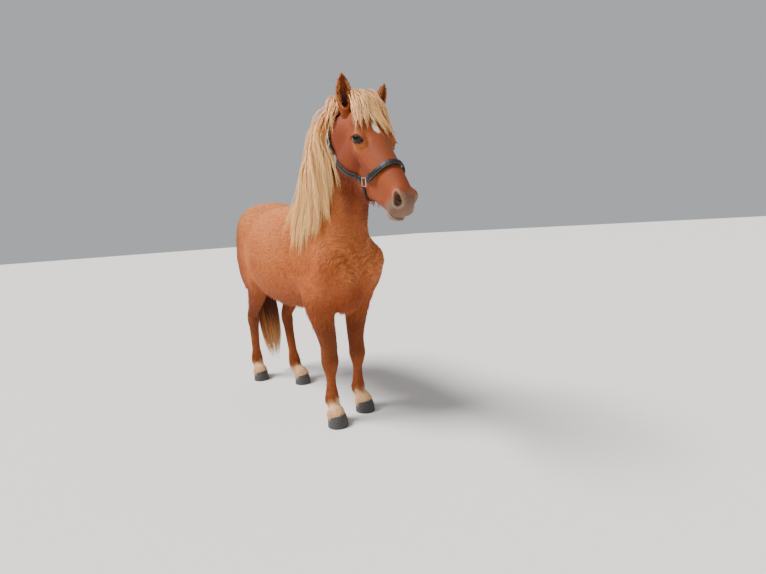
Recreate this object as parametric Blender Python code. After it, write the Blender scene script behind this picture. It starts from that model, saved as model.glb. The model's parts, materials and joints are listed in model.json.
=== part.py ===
"""Icelandic horse, life size, standing with its head raised, in a leather headcollar.

+X runs towards the head, +Y to the horse's left and +Z up, in metres, with the floor at Z = 0.
It is shaped round the trunk's own middle, then slid back so that the origin is under its box's middle.
The flesh is a field of smoothly joined forms, meshed node by node and parted by thin flat cuts.
"""

import math

import bmesh
import bpy
import numpy as np
import openvdb
from mathutils import Matrix, Vector

# Driving sizes of the horse, in metres.
WITHERS_HEIGHT = 1.39
CROUP_HEIGHT = 1.415
BACK_HEIGHT = 1.342
BELLY_HEIGHT = 0.665
GIRTH_HEIGHT = 0.695
BARREL_HALF_WIDTH = 0.300
ELBOW_HEIGHT = 0.80
KNEE_HEIGHT = 0.385
HOCK_HEIGHT = 0.505
FETLOCK_HEIGHT = 0.157
TOE_HEIGHT = 0.078
HEEL_HEIGHT = 0.046
HOOF_LENGTH = 0.136
HOOF_WIDTH = 0.122
EYE_RADIUS = 0.0225
EAR_LENGTH = 0.160
TAIL_TIP_HEIGHT = 0.15

# The stance: each hoof's centre on the floor, and the leg's joints above it as (x, y).
STANCE = {
    "right_fore": dict(hoof=(0.490, -0.112), fetlock=(0.446, -0.107), knee=(0.440, -0.102), elbow=(0.415, -0.135)),
    "left_fore": dict(hoof=(0.442, 0.128), fetlock=(0.408, 0.116), knee=(0.415, 0.117), elbow=(0.405, 0.145)),
    "right_hind": dict(hoof=(-0.648, -0.108), fetlock=(-0.705, -0.104), hock=(-0.668, -0.116), stifle=(-0.375, -0.150)),
    "left_hind": dict(hoof=(-0.308, 0.085), fetlock=(-0.385, 0.072), hock=(-0.480, 0.088), stifle=(-0.285, 0.145)),
}

# The head's place: the poll, and the turn, nod and tilt of its long axis in degrees.
POLL = (0.932, -0.120, 1.699)
HEAD_TURN = -10.9
HEAD_NOD = 45.5
HEAD_TILT = -5.9

# Grid steps of the flesh, and the air between touching pieces.
BODY_STEP = 0.013
LEG_STEP = 0.008
HEAD_STEP = 0.0040
EAR_STEP = 0.0026
GAP = 0.0003
FAR = 1.0
BOX_MIDDLE = 0.237

LEG_CUT = dict(fore=0.655, hind=0.705)
NECK_CUT = ((0.520, 0.0, 1.270), (0.76, -0.04, 0.65))
HEAD_CUT = ((0.800, -0.100, 1.600), (0.985, -0.15, 0.03))
TAIL_CUT = ((-0.700, 0.0, 1.215), (-0.80, 0.0, -0.60))


class Frame:
    """A place with its own axes: forward, left and up."""

    def __init__(self, origin, forward, left, up):
        self.origin = np.array(origin, float)
        self.axes = np.array([forward, left, up], float)

    def at(self, forward, left, up):
        return self.origin + np.array([forward, left, up], float) @ self.axes

    def out(self, points):
        return self.origin + np.asarray(points, float) @ self.axes


def head_frame():
    turn, nod, tilt = (math.radians(a) for a in (HEAD_TURN, HEAD_NOD, HEAD_TILT))
    forward = Vector((math.cos(turn) * math.cos(nod), math.sin(turn) * math.cos(nod), -math.sin(nod)))
    left = Matrix.Rotation(tilt, 3, forward) @ Vector((-math.sin(turn), math.cos(turn), 0))
    return Frame(POLL, forward, left, forward.cross(left))


HEAD = head_frame()
WORLD = Frame((0, 0, 0), (1, 0, 0), (0, 1, 0), (0, 0, 1))


def smooth_min(a, b, blend):
    share = np.clip(0.5 + 0.5 * (b - a) / blend, 0, 1)
    return b * (1 - share) + a * share - blend * share * (1 - share)


def spline_rows(rows, steps):
    """Catmull-Rom through rows of numbers, with so many steps a span."""
    rows = np.array(rows, float)
    padded = np.vstack([2 * rows[0] - rows[1], rows, 2 * rows[-1] - rows[-2]])
    made = []
    for i in range(len(rows) - 1):
        p0, p1, p2, p3 = padded[i : i + 4]
        for t in np.arange(steps) / steps:
            line = 2 * p1 + (p2 - p0) * t
            bend = (2 * p0 - 5 * p1 + 4 * p2 - p3) * t**2 + (3 * p1 - p0 - 3 * p2 + p3) * t**3
            made.append((line + bend) / 2)
    return np.array([*made, rows[-1]])


class Limb:
    """A bending body of oval section through stations of (x, y, z, half width, front, back).

    The front is the top of a body walked forward, the front of a leg walked down and the crest of
    a neck walked up. Stations are in the frame's own axes.
    """

    def __init__(self, stations, frame=WORLD, steps=4):
        rows = np.array(stations, float)
        rows[:, :3] = frame.out(rows[:, :3])
        self.rows = spline_rows(rows, steps)
        self.left = frame.axes[1]
        reach = self.rows[:, 3:].max()
        self.low = self.rows[:, :3].min(0) - reach
        self.high = self.rows[:, :3].max(0) + reach

    def distance(self, points):
        best = np.full(len(points), FAR)
        for a, b in zip(self.rows[:-1], self.rows[1:]):
            margin = max(a[3:].max(), b[3:].max()) + 0.08
            near = np.all(points > np.minimum(a[:3], b[:3]) - margin, axis=1)
            near &= np.all(points < np.maximum(a[:3], b[:3]) + margin, axis=1)
            if not near.any():
                continue
            along = b[:3] - a[:3]
            length = np.linalg.norm(along)
            along = along / length
            left = self.left - along * (self.left @ along)
            left /= np.linalg.norm(left)
            front = np.cross(along, left)
            local = points[near] - a[:3]
            t = np.clip(local @ along / length, 0, 1)
            sizes = a[3:] + t[:, None] * (b[3:] - a[3:])
            local -= np.outer(t * length, along)
            across, ahead, beyond = local @ left, local @ front, local @ along
            depth = np.where(ahead > 0, sizes[:, 1], sizes[:, 2])
            ends = np.minimum(sizes[:, 0], depth)
            ratio = np.sqrt((across / sizes[:, 0]) ** 2 + (ahead / depth) ** 2 + (beyond / ends) ** 2)
            ratio = np.maximum(ratio, 1e-4)
            radius = np.sqrt(across**2 + ahead**2 + beyond**2)
            best[near] = np.minimum(best[near], np.maximum(radius, 1e-5) * (1 - 1 / ratio))
        return best


class Ball:
    """An ellipsoid with radii along its frame's axes, nose down by pitch and left by yaw, in degrees."""

    def __init__(self, centre, radii, pitch=0.0, yaw=0.0, frame=WORLD):
        self.centre = frame.at(*centre)
        self.radii = np.array(radii, float)
        turn = Matrix.Rotation(math.radians(yaw), 3, "Z") @ Matrix.Rotation(math.radians(pitch), 3, "Y")
        self.axes = np.array(turn).T @ frame.axes
        reach = self.radii.max()
        self.low, self.high = self.centre - reach, self.centre + reach

    def distance(self, points):
        local = (points - self.centre) @ self.axes.T
        scaled = local / self.radii
        near = np.maximum(np.linalg.norm(scaled, axis=1), 1e-4)
        slope = np.maximum(np.linalg.norm(scaled / self.radii, axis=1), 1e-4)
        return near * (near - 1) / slope


class Line:
    """The distance from a bending line, for grooves and ridges drawn on the surface."""

    def __init__(self, points, frame=WORLD, steps=4):
        self.rows = spline_rows(frame.out(points), steps)
        self.low, self.high = self.rows.min(0), self.rows.max(0)

    def distance(self, points):
        best = np.full(len(points), FAR)
        for a, b in zip(self.rows[:-1], self.rows[1:]):
            along = b - a
            t = np.clip((points - a) @ along / (along @ along), 0, 1)
            best = np.minimum(best, np.linalg.norm(points - a - np.outer(t, along), axis=1))
        return best


def joined(points, forms):
    """The field of all forms: (shape, blend) adds, (shape, blend, "carve") cuts away and
    (line, width, depth) presses a soft groove in, or raises a ridge where depth is under 0."""
    field = np.full(len(points), FAR)
    for shape, blend, *how in forms:
        margin = 2.5 * blend if how and how[0] != "carve" else 2 * blend + 0.04
        near = np.all((points > shape.low - margin) & (points < shape.high + margin), axis=1)
        if not near.any():
            continue
        values = shape.distance(points[near])
        if not how:
            field[near] = smooth_min(field[near], values, blend)
        elif how[0] == "carve":
            field[near] = -smooth_min(-field[near], values, blend)
        else:
            field[near] += how[0] * np.exp(-((values / blend) ** 2))
    return field


def torso_forms():
    back, belly = BACK_HEIGHT, BELLY_HEIGHT
    barrel = Limb([
        (-0.66, 0, 1.09, 0.085, 0.10, 0.13),
        (-0.56, 0, 1.11, 0.165, 0.20, 0.20),
        (-0.42, 0, 1.09, 0.215, CROUP_HEIGHT - 1.105, 0.265),
        (-0.24, 0, 1.02, BARREL_HALF_WIDTH - 0.030, back + 0.010 - 1.02, 1.02 - belly - 0.060),
        (-0.10, 0, 0.99, BARREL_HALF_WIDTH, back - 0.99, 0.99 - belly - 0.005),
        (0.07, 0, 0.98, BARREL_HALF_WIDTH - 0.010, back - 0.98, 0.98 - belly),
        (0.26, 0, 1.00, 0.245, back + 0.010 - 1.00, 1.00 - GIRTH_HEIGHT),
        (0.42, 0, 1.02, 0.195, 0.28, 0.285),
        (0.54, 0, 1.01, 0.150, 0.22, 0.235),
    ])
    withers = Limb([
        (0.06, 0, 1.265, 0.060, 0.032, 0.08),
        (0.22, 0, 1.320, 0.050, WITHERS_HEIGHT - 1.330, 0.08),
        (0.35, 0, 1.345, 0.046, WITHERS_HEIGHT - 1.345, 0.10),
        (0.48, 0, 1.390, 0.044, 0.045, 0.12),
    ])
    forms = [(barrel, 0.03), (withers, 0.07)]
    for side in (-1, 1):
        forms += [
            (Ball((-0.41, side * 0.105, 1.215), (0.205, 0.125, 0.150), pitch=-6), 0.06),
            (Ball((-0.49, side * 0.127, 1.060), (0.190, 0.107, 0.240), pitch=8), 0.05),
            (Ball((-0.635, side * 0.078, 1.010), (0.095, 0.074, 0.190), pitch=2), 0.05),
            (Limb([(0.250, side * 0.070, 1.240, 0.052, 0.070, 0.080),
                   (0.350, side * 0.110, 1.165, 0.062, 0.095, 0.105),
                   (0.460, side * 0.142, 1.075, 0.064, 0.095, 0.105),
                   (0.570, side * 0.145, 0.990, 0.066, 0.085, 0.090)]), 0.05),
            (Limb([(0.605, side * 0.132, 0.970, 0.076, 0.080, 0.080),
                   (0.545, side * 0.145, 0.890, 0.074, 0.095, 0.085),
                   (0.470, side * 0.145, 0.800, 0.066, 0.090, 0.085)]), 0.05),
            (Ball((0.350, side * 0.165, 0.930), (0.125, 0.060, 0.130), pitch=20), 0.05),
            (Ball((0.600, side * 0.075, 0.930), (0.078, 0.080, 0.135)), 0.04),
        ]
    forms.append((Ball((0.49, 0, 0.775), (0.145, 0.095, 0.112)), 0.06))
    return forms


def neck_forms():
    """The neck walks up from between the shoulders to the poll, bending to the horse's right."""
    neck = Limb([
        (0.43, 0.000, 1.150, 0.145, 0.250, 0.245),
        (0.54, -0.008, 1.275, 0.124, 0.222, 0.218),
        (0.635, -0.030, 1.400, 0.104, 0.190, 0.176),
        (0.725, -0.060, 1.505, 0.088, 0.160, 0.140),
        (0.800, -0.085, 1.590, 0.078, 0.132, 0.112),
        (0.862, -0.102, 1.640, 0.070, 0.098, 0.088),
    ])
    return [(neck, 0.07)]


def foreleg_forms(spots):
    (hx, hy), (fx, fy), (kx, ky), (ex, ey) = (spots[k] for k in ("hoof", "fetlock", "knee", "elbow"))
    knee, fetlock = KNEE_HEIGHT, FETLOCK_HEIGHT
    leg = Limb([
        (ex + 0.01, ey, ELBOW_HEIGHT + 0.04, 0.090, 0.110, 0.105),
        (ex + 0.012, ey, ELBOW_HEIGHT - 0.06, 0.085, 0.098, 0.100),
        ((ex + kx) / 2 + 0.004, (ey + ky) / 2, 0.620, 0.066, 0.070, 0.080),
        (kx, ky, 0.500, 0.053, 0.050, 0.059),
        (kx, ky, knee + 0.045, 0.051, 0.048, 0.051),
        (kx, ky, knee, 0.053, 0.053, 0.050),
        (kx, ky, knee - 0.045, 0.043, 0.042, 0.045),
        ((2 * kx + fx) / 3, (2 * ky + fy) / 3, 0.29, 0.0295, 0.030, 0.041),
        ((kx + 3 * fx) / 4, (ky + 3 * fy) / 4, 0.220, 0.0295, 0.030, 0.041),
        (fx, fy, fetlock + 0.006, 0.038, 0.037, 0.049),
        (fx + 0.008, fy, fetlock - 0.026, 0.035, 0.034, 0.046),
        ((fx + hx) / 2, (fy + hy) / 2, 0.102, 0.037, 0.036, 0.042),
        (hx - 0.016, hy, 0.078, 0.048, 0.049, 0.050),
        (hx - 0.008, hy, 0.050, 0.052, 0.054, 0.052),
    ])
    return [
        (leg, 0.05),
        (Ball((kx - 0.038, ky, knee + 0.005), (0.014, 0.020, 0.026)), 0.02),
        (Ball((fx - 0.040, fy, fetlock - 0.014), (0.022, 0.022, 0.030)), 0.02),
    ]


def hindleg_forms(spots):
    (hx, hy), (fx, fy), (ox, oy), (sx, sy) = (spots[k] for k in ("hoof", "fetlock", "hock", "stifle"))
    hock, fetlock = HOCK_HEIGHT, FETLOCK_HEIGHT
    side = math.copysign(1, sy)

    def shin(t, z, half, front, back):
        return (sx + (ox - sx) * t, sy + (oy - sy) * t, z, half, front, back)

    leg = Limb([
        (sx - 0.085, side * 0.138, 0.990, 0.088, 0.140, 0.185),
        (sx - 0.075, side * 0.148, 0.870, 0.084, 0.120, 0.180),
        shin(0.22, 0.775, 0.068, 0.090, 0.125),
        shin(0.50, 0.680, 0.055, 0.066, 0.088),
        shin(0.80, 0.590, 0.042, 0.048, 0.058),
        (ox + 0.004, oy, hock + 0.030, 0.041, 0.047, 0.054),
        (ox, oy, hock - 0.020, 0.043, 0.049, 0.051),
        (ox + (fx - ox) * 0.14, oy + (fy - oy) * 0.14, hock - 0.075, 0.036, 0.041, 0.046),
        (ox + (fx - ox) * 0.40, oy + (fy - oy) * 0.40, 0.345, 0.0320, 0.033, 0.048),
        (ox + (fx - ox) * 0.75, oy + (fy - oy) * 0.75, 0.240, 0.0310, 0.031, 0.046),
        (fx, fy, fetlock + 0.006, 0.039, 0.038, 0.052),
        (fx + 0.010, fy, fetlock - 0.026, 0.036, 0.035, 0.047),
        ((fx + hx) / 2, (fy + hy) / 2, 0.102, 0.037, 0.036, 0.042),
        (hx - 0.016, hy, 0.078, 0.047, 0.048, 0.050),
        (hx - 0.008, hy, 0.050, 0.051, 0.053, 0.052),
    ])
    heel = Limb([
        (ox - 0.014, oy, hock - 0.030, 0.020, 0.020, 0.032),
        (ox - 0.044, oy, hock + 0.030, 0.019, 0.020, 0.024),
        (ox - 0.026, oy, hock + 0.110, 0.012, 0.020, 0.014),
    ])
    return [
        (leg, 0.06),
        (heel, 0.025),
        (Ball((sx + 0.015, sy, 0.850), (0.065, 0.064, 0.090)), 0.07),
        (Ball((fx - 0.040, fy, fetlock - 0.014), (0.022, 0.022, 0.030)), 0.02),
    ]


EYE_PLACE = (0.212, 0.0815, -0.040)
EYE_FACING = (0.46, 0.84, 0.26)


def head_forms():
    """The head in its own frame: forward down the face, left, and up off the forehead."""
    on = dict(frame=HEAD)
    skull = Limb([
        (0.020, 0, -0.066, 0.066, 0.054, 0.065),
        (0.095, 0, -0.064, 0.082, 0.076, 0.078),
        (0.190, 0, -0.066, 0.081, 0.076, 0.080),
        (0.295, 0, -0.072, 0.069, 0.074, 0.070),
        (0.395, 0, -0.076, 0.059, 0.072, 0.064),
        (0.500, 0, -0.080, 0.051, 0.064, 0.058),
        (0.556, 0, -0.086, 0.051, 0.056, 0.054),
    ], **on)
    jaw = Limb([
        (0.110, 0, -0.150, 0.062, 0.060, 0.110),
        (0.200, 0, -0.155, 0.062, 0.070, 0.126),
        (0.300, 0, -0.150, 0.050, 0.060, 0.108),
        (0.395, 0, -0.140, 0.042, 0.050, 0.074),
        (0.495, 0, -0.134, 0.038, 0.036, 0.046),
        (0.552, 0, -0.138, 0.036, 0.026, 0.036),
    ], **on)
    forms = [(skull, 0.02), (jaw, 0.03)]
    for side in (-1, 1):
        eye = (EYE_PLACE[0], side * EYE_PLACE[1], EYE_PLACE[2])
        forms += [
            (Ball((0.156, side * 0.050, -0.172), (0.100, 0.045, 0.100), pitch=-6, **on), 0.025),
            (Ball((0.120, side * 0.042, -0.024), (0.090, 0.042, 0.034), pitch=3, yaw=side * 4, **on), 0.03),
            (Limb([(0.150, side * 0.070, -0.022, 0.012, 0.014, 0.016),
                   (0.196, side * 0.084, -0.016, 0.014, 0.013, 0.016),
                   (0.243, side * 0.074, -0.030, 0.010, 0.012, 0.014)], **on), 0.02),
            (Ball((eye[0] - 0.002, eye[1], eye[2] - 0.001), (0.0315, 0.0262, 0.0275), **on), 0.014),
            (Limb([(0.230, side * 0.066, -0.088, 0.010, 0.010, 0.012),
                   (0.300, side * 0.056, -0.096, 0.010, 0.010, 0.012),
                   (0.375, side * 0.046, -0.098, 0.008, 0.008, 0.010)], **on), 0.04),
            (Ball((0.030, side * 0.066, -0.140), (0.080, 0.040, 0.090), pitch=-20, **on), 0.03),
            (Ball((0.553, side * 0.033, -0.057), (0.034, 0.026, 0.029), pitch=14, **on), 0.018),
            (Ball((0.560, side * 0.028, -0.108), (0.036, 0.028, 0.028), **on), 0.018),
        ]
    forms += [
        (Ball((0.560, 0, -0.087), (0.027, 0.040, 0.039), **on), 0.020),
        (Ball((0.568, 0, -0.115), (0.026, 0.037, 0.022), **on), 0.014),
        (Ball((0.566, 0, -0.150), (0.030, 0.033, 0.017), pitch=-8, **on), 0.012),
        (Ball((0.544, 0, -0.162), (0.026, 0.029, 0.020), **on), 0.014),
    ]
    return forms


def head_details():
    """The nostrils and the line of the mouth."""
    on = dict(frame=HEAD)
    details = []
    for side in (-1, 1):
        details += [
            (Limb([(0.581, side * 0.043, -0.070, 0.015, 0.017, 0.018),
                   (0.570, side * 0.054, -0.054, 0.013, 0.014, 0.014),
                   (0.550, side * 0.059, -0.038, 0.007, 0.007, 0.007)], **on), 0.007, "carve"),
            (Line([(0.600, side * 0.006, -0.131), (0.590, side * 0.034, -0.132),
                   (0.566, side * 0.050, -0.132), (0.529, side * 0.050, -0.128),
                   (0.496, side * 0.048, -0.121)], **on), 0.0045, 0.0085),
        ]
    return details


def surface(forms, low, high, step, frame=WORLD):
    """Mesh the zero level of the joined field inside a box of the frame."""
    low = np.array(low, float)
    counts = np.ceil((np.array(high) - low) / step).astype(int) + 1
    grid = np.stack(np.meshgrid(*[np.arange(n) * step for n in counts], indexing="ij"), -1)
    points = frame.out(grid.reshape(-1, 3) + low)
    values = joined(points, forms).astype(np.float32).reshape(counts)
    for axis in range(3):
        edge = np.moveaxis(values, axis, 0)
        edge[0] = np.maximum(edge[0], step / 4)
        edge[-1] = np.maximum(edge[-1], step / 4)
    volume = openvdb.FloatGrid(FAR)
    volume.copyFromArray(values)
    volume.transform = openvdb.createLinearTransform(voxelSize=step)
    verts, quads = volume.convertToQuads(isovalue=0.0)
    mesh = bpy.data.meshes.new("flesh")
    mesh.from_pydata(frame.out(verts.astype(float) + low).tolist(), [], quads.tolist())
    bm = bmesh.new()
    bm.from_mesh(mesh)
    keep_largest(bm)
    face_out(bm)
    bm.to_mesh(mesh)
    bm.free()
    return mesh


def face_out(bm):
    """Turn every face outward."""
    bmesh.ops.recalc_face_normals(bm, faces=bm.faces)
    if bm.calc_volume(signed=True) < 0:
        bmesh.ops.reverse_faces(bm, faces=bm.faces)


def keep_largest(bm):
    """Delete every closed surface but the largest."""
    bm.faces.ensure_lookup_table()
    seen, islands = set(), []
    for face in bm.faces:
        if face in seen:
            continue
        island, edge = [], [face]
        seen.add(face)
        while edge:
            current = edge.pop()
            island.append(current)
            for side in current.edges:
                for other in side.link_faces:
                    if other not in seen:
                        seen.add(other)
                        edge.append(other)
        islands.append(island)
    islands.sort(key=len, reverse=True)
    for island in islands[1:]:
        verts = {v for face in island for v in face.verts}
        bmesh.ops.delete(bm, geom=list(verts), context="VERTS")


def add_object(name, mesh, material, smooth=True):
    piece = bpy.data.objects.new(name, mesh)
    bpy.context.collection.objects.link(piece)
    mesh.name = name
    mesh.materials.clear()
    mesh.materials.append(material)
    if smooth:
        mesh.shade_smooth()
        mesh.set_sharp_from_angle(angle=math.radians(40))
    return piece


def finish_modifiers(piece):
    """Turn the object's modifiers into plain mesh."""
    bpy.context.view_layer.update()
    made = bpy.data.meshes.new_from_object(piece.evaluated_get(bpy.context.evaluated_depsgraph_get()))
    piece.modifiers.clear()
    old = piece.data
    piece.data = made
    bpy.data.meshes.remove(old)


def thin_out(piece, triangles):
    """Decimate to so many triangles."""
    count = sum(len(p.vertices) - 2 for p in piece.data.polygons)
    if count <= triangles:
        return
    modifier = piece.modifiers.new("thin", "DECIMATE")
    modifier.ratio = triangles / count
    finish_modifiers(piece)


def cut_plane(piece, point, normal):
    """Cut the side that the normal points to away, leaving a flat face half a gap short of the plane."""
    normal = Vector(normal).normalized()
    bm = bmesh.new()
    bm.from_mesh(piece.data)
    place = Vector(point) - normal * GAP / 2
    geometry = bm.verts[:] + bm.edges[:] + bm.faces[:]
    cut = bmesh.ops.bisect_plane(bm, geom=geometry, plane_co=place, plane_no=normal, clear_outer=True, dist=1e-5)
    rim = [e for e in cut["geom_cut"] if isinstance(e, bmesh.types.BMEdge)]
    bmesh.ops.contextual_create(bm, geom=rim)
    bmesh.ops.holes_fill(bm, edges=[e for e in bm.edges if e.is_boundary], sides=0)
    keep_largest(bm)
    bmesh.ops.triangulate(bm, faces=[f for f in bm.faces if len(f.verts) > 3], ngon_method="EAR_CLIP")
    face_out(bm)
    bm.to_mesh(piece.data)
    bm.free()


def cutter_box(low, high):
    mesh = bpy.data.meshes.new("cutter")
    bm = bmesh.new()
    bmesh.ops.create_cube(bm, size=1)
    size = Vector(high) - Vector(low)
    bmesh.ops.transform(bm, matrix=Matrix.LocRotScale((Vector(high) + Vector(low)) / 2, None, size), verts=bm.verts)
    bm.to_mesh(mesh)
    bm.free()
    return cutter_object(mesh)


def seat_cutter(point, normal, radius, depth=0.16):
    """A short drum whose near end lies half a gap behind the point, facing along the normal."""
    mesh = bpy.data.meshes.new("cutter")
    bm = bmesh.new()
    bmesh.ops.create_cone(bm, cap_ends=True, segments=24, radius1=radius, radius2=radius, depth=depth)
    axis = Vector(normal).normalized()
    centre = Vector(point) + axis * (depth / 2 - GAP / 2)
    turn = Vector((0, 0, 1)).rotation_difference(axis).to_matrix().to_4x4()
    bmesh.ops.transform(bm, matrix=Matrix.Translation(centre) @ turn, verts=bm.verts)
    bm.to_mesh(mesh)
    bm.free()
    return cutter_object(mesh)


def cutter_ball(centre, radii, frame=WORLD, fine=3):
    """An ellipsoid with radii along the frame's axes."""
    mesh = bpy.data.meshes.new("cutter")
    bm = bmesh.new()
    bmesh.ops.create_icosphere(bm, subdivisions=fine, radius=1)
    for vert in bm.verts:
        vert.co = Vector(frame.at(*centre) + (np.array(vert.co) * radii) @ frame.axes)
    face_out(bm)
    bm.to_mesh(mesh)
    bm.free()
    return cutter_object(mesh)


def cutter_object(mesh):
    cutter = bpy.data.objects.new("cutter", mesh)
    cutter.display_type = "WIRE"
    cutter.hide_render = True
    bpy.context.collection.objects.link(cutter)
    return cutter


def cut_with(piece, cutters, operation="DIFFERENCE"):
    for cutter in cutters:
        modifier = piece.modifiers.new("cut", "BOOLEAN")
        modifier.operation = operation
        modifier.object = cutter
    finish_modifiers(piece)
    for cutter in cutters:
        bpy.data.objects.remove(cutter)
    bm = bmesh.new()
    bm.from_mesh(piece.data)
    keep_largest(bm)
    bmesh.ops.triangulate(bm, faces=bm.faces)
    bm.to_mesh(piece.data)
    bm.free()


def material(name, colour, roughness, metallic=0.0):
    made = bpy.data.materials.new(name)
    made.use_nodes = True
    shader = made.node_tree.nodes["Principled BSDF"]
    shader.inputs["Base Color"].default_value = (*colour, 1)
    shader.inputs["Roughness"].default_value = roughness
    shader.inputs["Metallic"].default_value = metallic
    made.diffuse_color = (*colour, 1)
    return made


def coat(name):
    return material(name, (0.50, 0.29, 0.16), 0.85)


def mane_hair(name):
    return material(name, (0.66, 0.50, 0.34), 0.7)


LEG_FORMS = {
    name: foreleg_forms(spots) if "fore" in name else hindleg_forms(spots) for name, spots in STANCE.items()
}
BODY_FORMS = torso_forms() + neck_forms() + [form for forms in LEG_FORMS.values() for form in forms]
HEAD_FORMS = neck_forms() + head_forms() + head_details()


def crown_cut(name):
    return LEG_CUT[name.split("_")[1]]


def leg_box(name):
    places = np.array(list(STANCE[name].values()))
    low, high = places.min(0), places.max(0)
    return (low[0] - 0.10, low[1] - 0.085), (high[0] + 0.085, high[1] + 0.085)


def torso_shape():
    """The trunk down to the forearms and gaskins, with flat faces where the neck, legs and tail meet it."""
    torso = add_object("torso", surface(BODY_FORMS, (-0.80, -0.33, 0.58), (0.76, 0.33, 1.52), BODY_STEP),
                       coat("coat_torso"))
    thin_out(torso, 1650)
    cut_plane(torso, *NECK_CUT)
    boxes = [seat_cutter(WORLD.at(*TAIL_CUT[0]), TAIL_CUT[1], 0.075)]
    for name in STANCE:
        (x0, y0), (x1, y1) = leg_box(name)
        boxes.append(cutter_box((x0, y0, 0.4), (x1, y1, crown_cut(name) + GAP / 2)))
    cut_with(torso, boxes)


def neck_shape():
    low, high = (0.22, -0.30, 0.90), (0.86, 0.24, 1.80)
    neck = add_object("neck", surface(BODY_FORMS + head_forms(), low, high, BODY_STEP), coat("coat_neck"))
    thin_out(neck, 800)
    point, normal = NECK_CUT
    cut_plane(neck, point, -np.array(normal))
    point, normal = HEAD_CUT
    cut_plane(neck, point, normal)


def leg_shapes(name):
    """One leg in four lengths: forearm or gaskin, cannon, pastern and hoof."""
    (x0, y0), (x1, y1) = leg_box(name)
    joint = KNEE_HEIGHT + 0.052 if "fore" in name else HOCK_HEIGHT + 0.075
    upper = "forearm" if "fore" in name else "gaskin"
    ankle = FETLOCK_HEIGHT + 0.035
    hx, hy = STANCE[name]["hoof"]
    slope = (TOE_HEIGHT - HEEL_HEIGHT) / HOOF_LENGTH
    top = ((hx, hy, (TOE_HEIGHT + HEEL_HEIGHT) / 2), (-slope, 0, 1))
    lengths = [
        (f"{name}_{upper}", joint, crown_cut(name), joint - 0.04, crown_cut(name) + 0.03, 340),
        (f"{name}_cannon", ankle, joint, ankle - 0.03, joint + 0.03, 400),
        (f"{name}_pastern", None, ankle, 0.02, ankle + 0.03, 300),
    ]
    for node, bottom, crown, z0, z1, triangles in lengths:
        mesh = surface(BODY_FORMS, (x0, y0, z0), (x1, y1, z1), LEG_STEP)
        piece = add_object(node, mesh, coat(f"coat_{node}"))
        thin_out(piece, triangles)
        cut_plane(piece, (0, 0, crown), (0, 0, 1))
        if bottom:
            cut_plane(piece, (0, 0, bottom), (0, 0, -1))
        else:
            cut_plane(piece, top[0], -np.array(top[1]))
    hoof_shape(name, top, "fore" in name)


def hoof_shape(name, top, fore):
    """A blunt cone from the coronet's slanting plane to the flat sole, notched at the heel."""
    hx, hy = STANCE[name]["hoof"]
    (px, _, pz), (nx, _, nz) = top
    turn = 24
    rings = [(0.0, 1.0), (0.5, 0.955), (0.90, 0.875), (1.0, 0.845)]
    bm = bmesh.new()
    loops = []
    for up, scale in rings:
        loop = []
        for k in range(turn):
            angle = 2 * math.pi * k / turn
            c, s = math.cos(angle), math.sin(angle)
            narrow = 1 - 0.16 * max(0.0, -c) ** 2
            notch = 0.016 * math.exp(-((angle - math.pi) / 0.22) ** 2)
            back = -0.30 * (1 - scale) * HOOF_LENGTH
            x = hx + (c * HOOF_LENGTH / 2 + notch) * scale + back
            y = hy + s * HOOF_WIDTH / 2 * scale * narrow * (1.0 if fore else 0.95)
            ceiling = pz - (x - px) * nx / nz - GAP / 2
            loop.append(bm.verts.new((x, y, ceiling * up)))
        loops.append(loop)
    for lower, upper in zip(loops[:-1], loops[1:]):
        for k in range(turn):
            bm.faces.new((lower[k], lower[(k + 1) % turn], upper[(k + 1) % turn], upper[k]))
    bm.faces.new(loops[0][::-1])
    bm.faces.new(loops[-1])
    face_out(bm)
    mesh = bpy.data.meshes.new("hoof")
    bm.to_mesh(mesh)
    bm.free()
    add_object(f"{name}_hoof", mesh, material(f"horn_{name}", (0.10, 0.10, 0.10), 0.6), smooth=False)


def head_shape():
    """The head from its own fine grid, with a socket and an almond opening for each eye."""
    mesh = surface(HEAD_FORMS, (-0.13, -0.15, -0.38), (0.65, 0.15, 0.06), HEAD_STEP, HEAD)
    head = add_object("head", mesh, coat("coat_head"))
    thin_out(head, 2350)
    point, normal = HEAD_CUT
    cut_plane(head, point, -np.array(normal))
    cutters = []
    for side in (-1, 1):
        place = (EYE_PLACE[0], side * EYE_PLACE[1], EYE_PLACE[2])
        cutters.append(cutter_ball(place, [EYE_RADIUS + GAP * 1.5] * 3, HEAD))
        cutters.append(cutter_ball((0, 0, 0.020), (0.0205, 0.0145, 0.024), lid_frame(side), 2))
    cut_with(head, cutters)


def lid_frame(side):
    """The eye's own frame: forward along the lids' slit, left across it and up out of the eye."""
    centre = HEAD.at(EYE_PLACE[0], side * EYE_PLACE[1], EYE_PLACE[2])
    facing = Vector(np.array([EYE_FACING[0], side * EYE_FACING[1], EYE_FACING[2]]) @ HEAD.axes).normalized()
    slit = Vector(np.array([1.0, 0.0, -0.10]) @ HEAD.axes)
    slit = (slit - facing * slit.dot(facing)).normalized()
    return Frame(centre, slit, facing.cross(slit), facing)


def eye_shapes():
    for name, side in (("right", -1), ("left", 1)):
        mesh = bpy.data.meshes.new("eye")
        bm = bmesh.new()
        bmesh.ops.create_icosphere(bm, subdivisions=3, radius=EYE_RADIUS)
        centre = HEAD.at(EYE_PLACE[0], side * EYE_PLACE[1], EYE_PLACE[2])
        bmesh.ops.translate(bm, verts=bm.verts, vec=Vector(centre))
        bm.to_mesh(mesh)
        bm.free()
        add_object(f"eye_{name}", mesh, material(f"eye_{name}", (0.02, 0.012, 0.008), 0.08))


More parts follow.
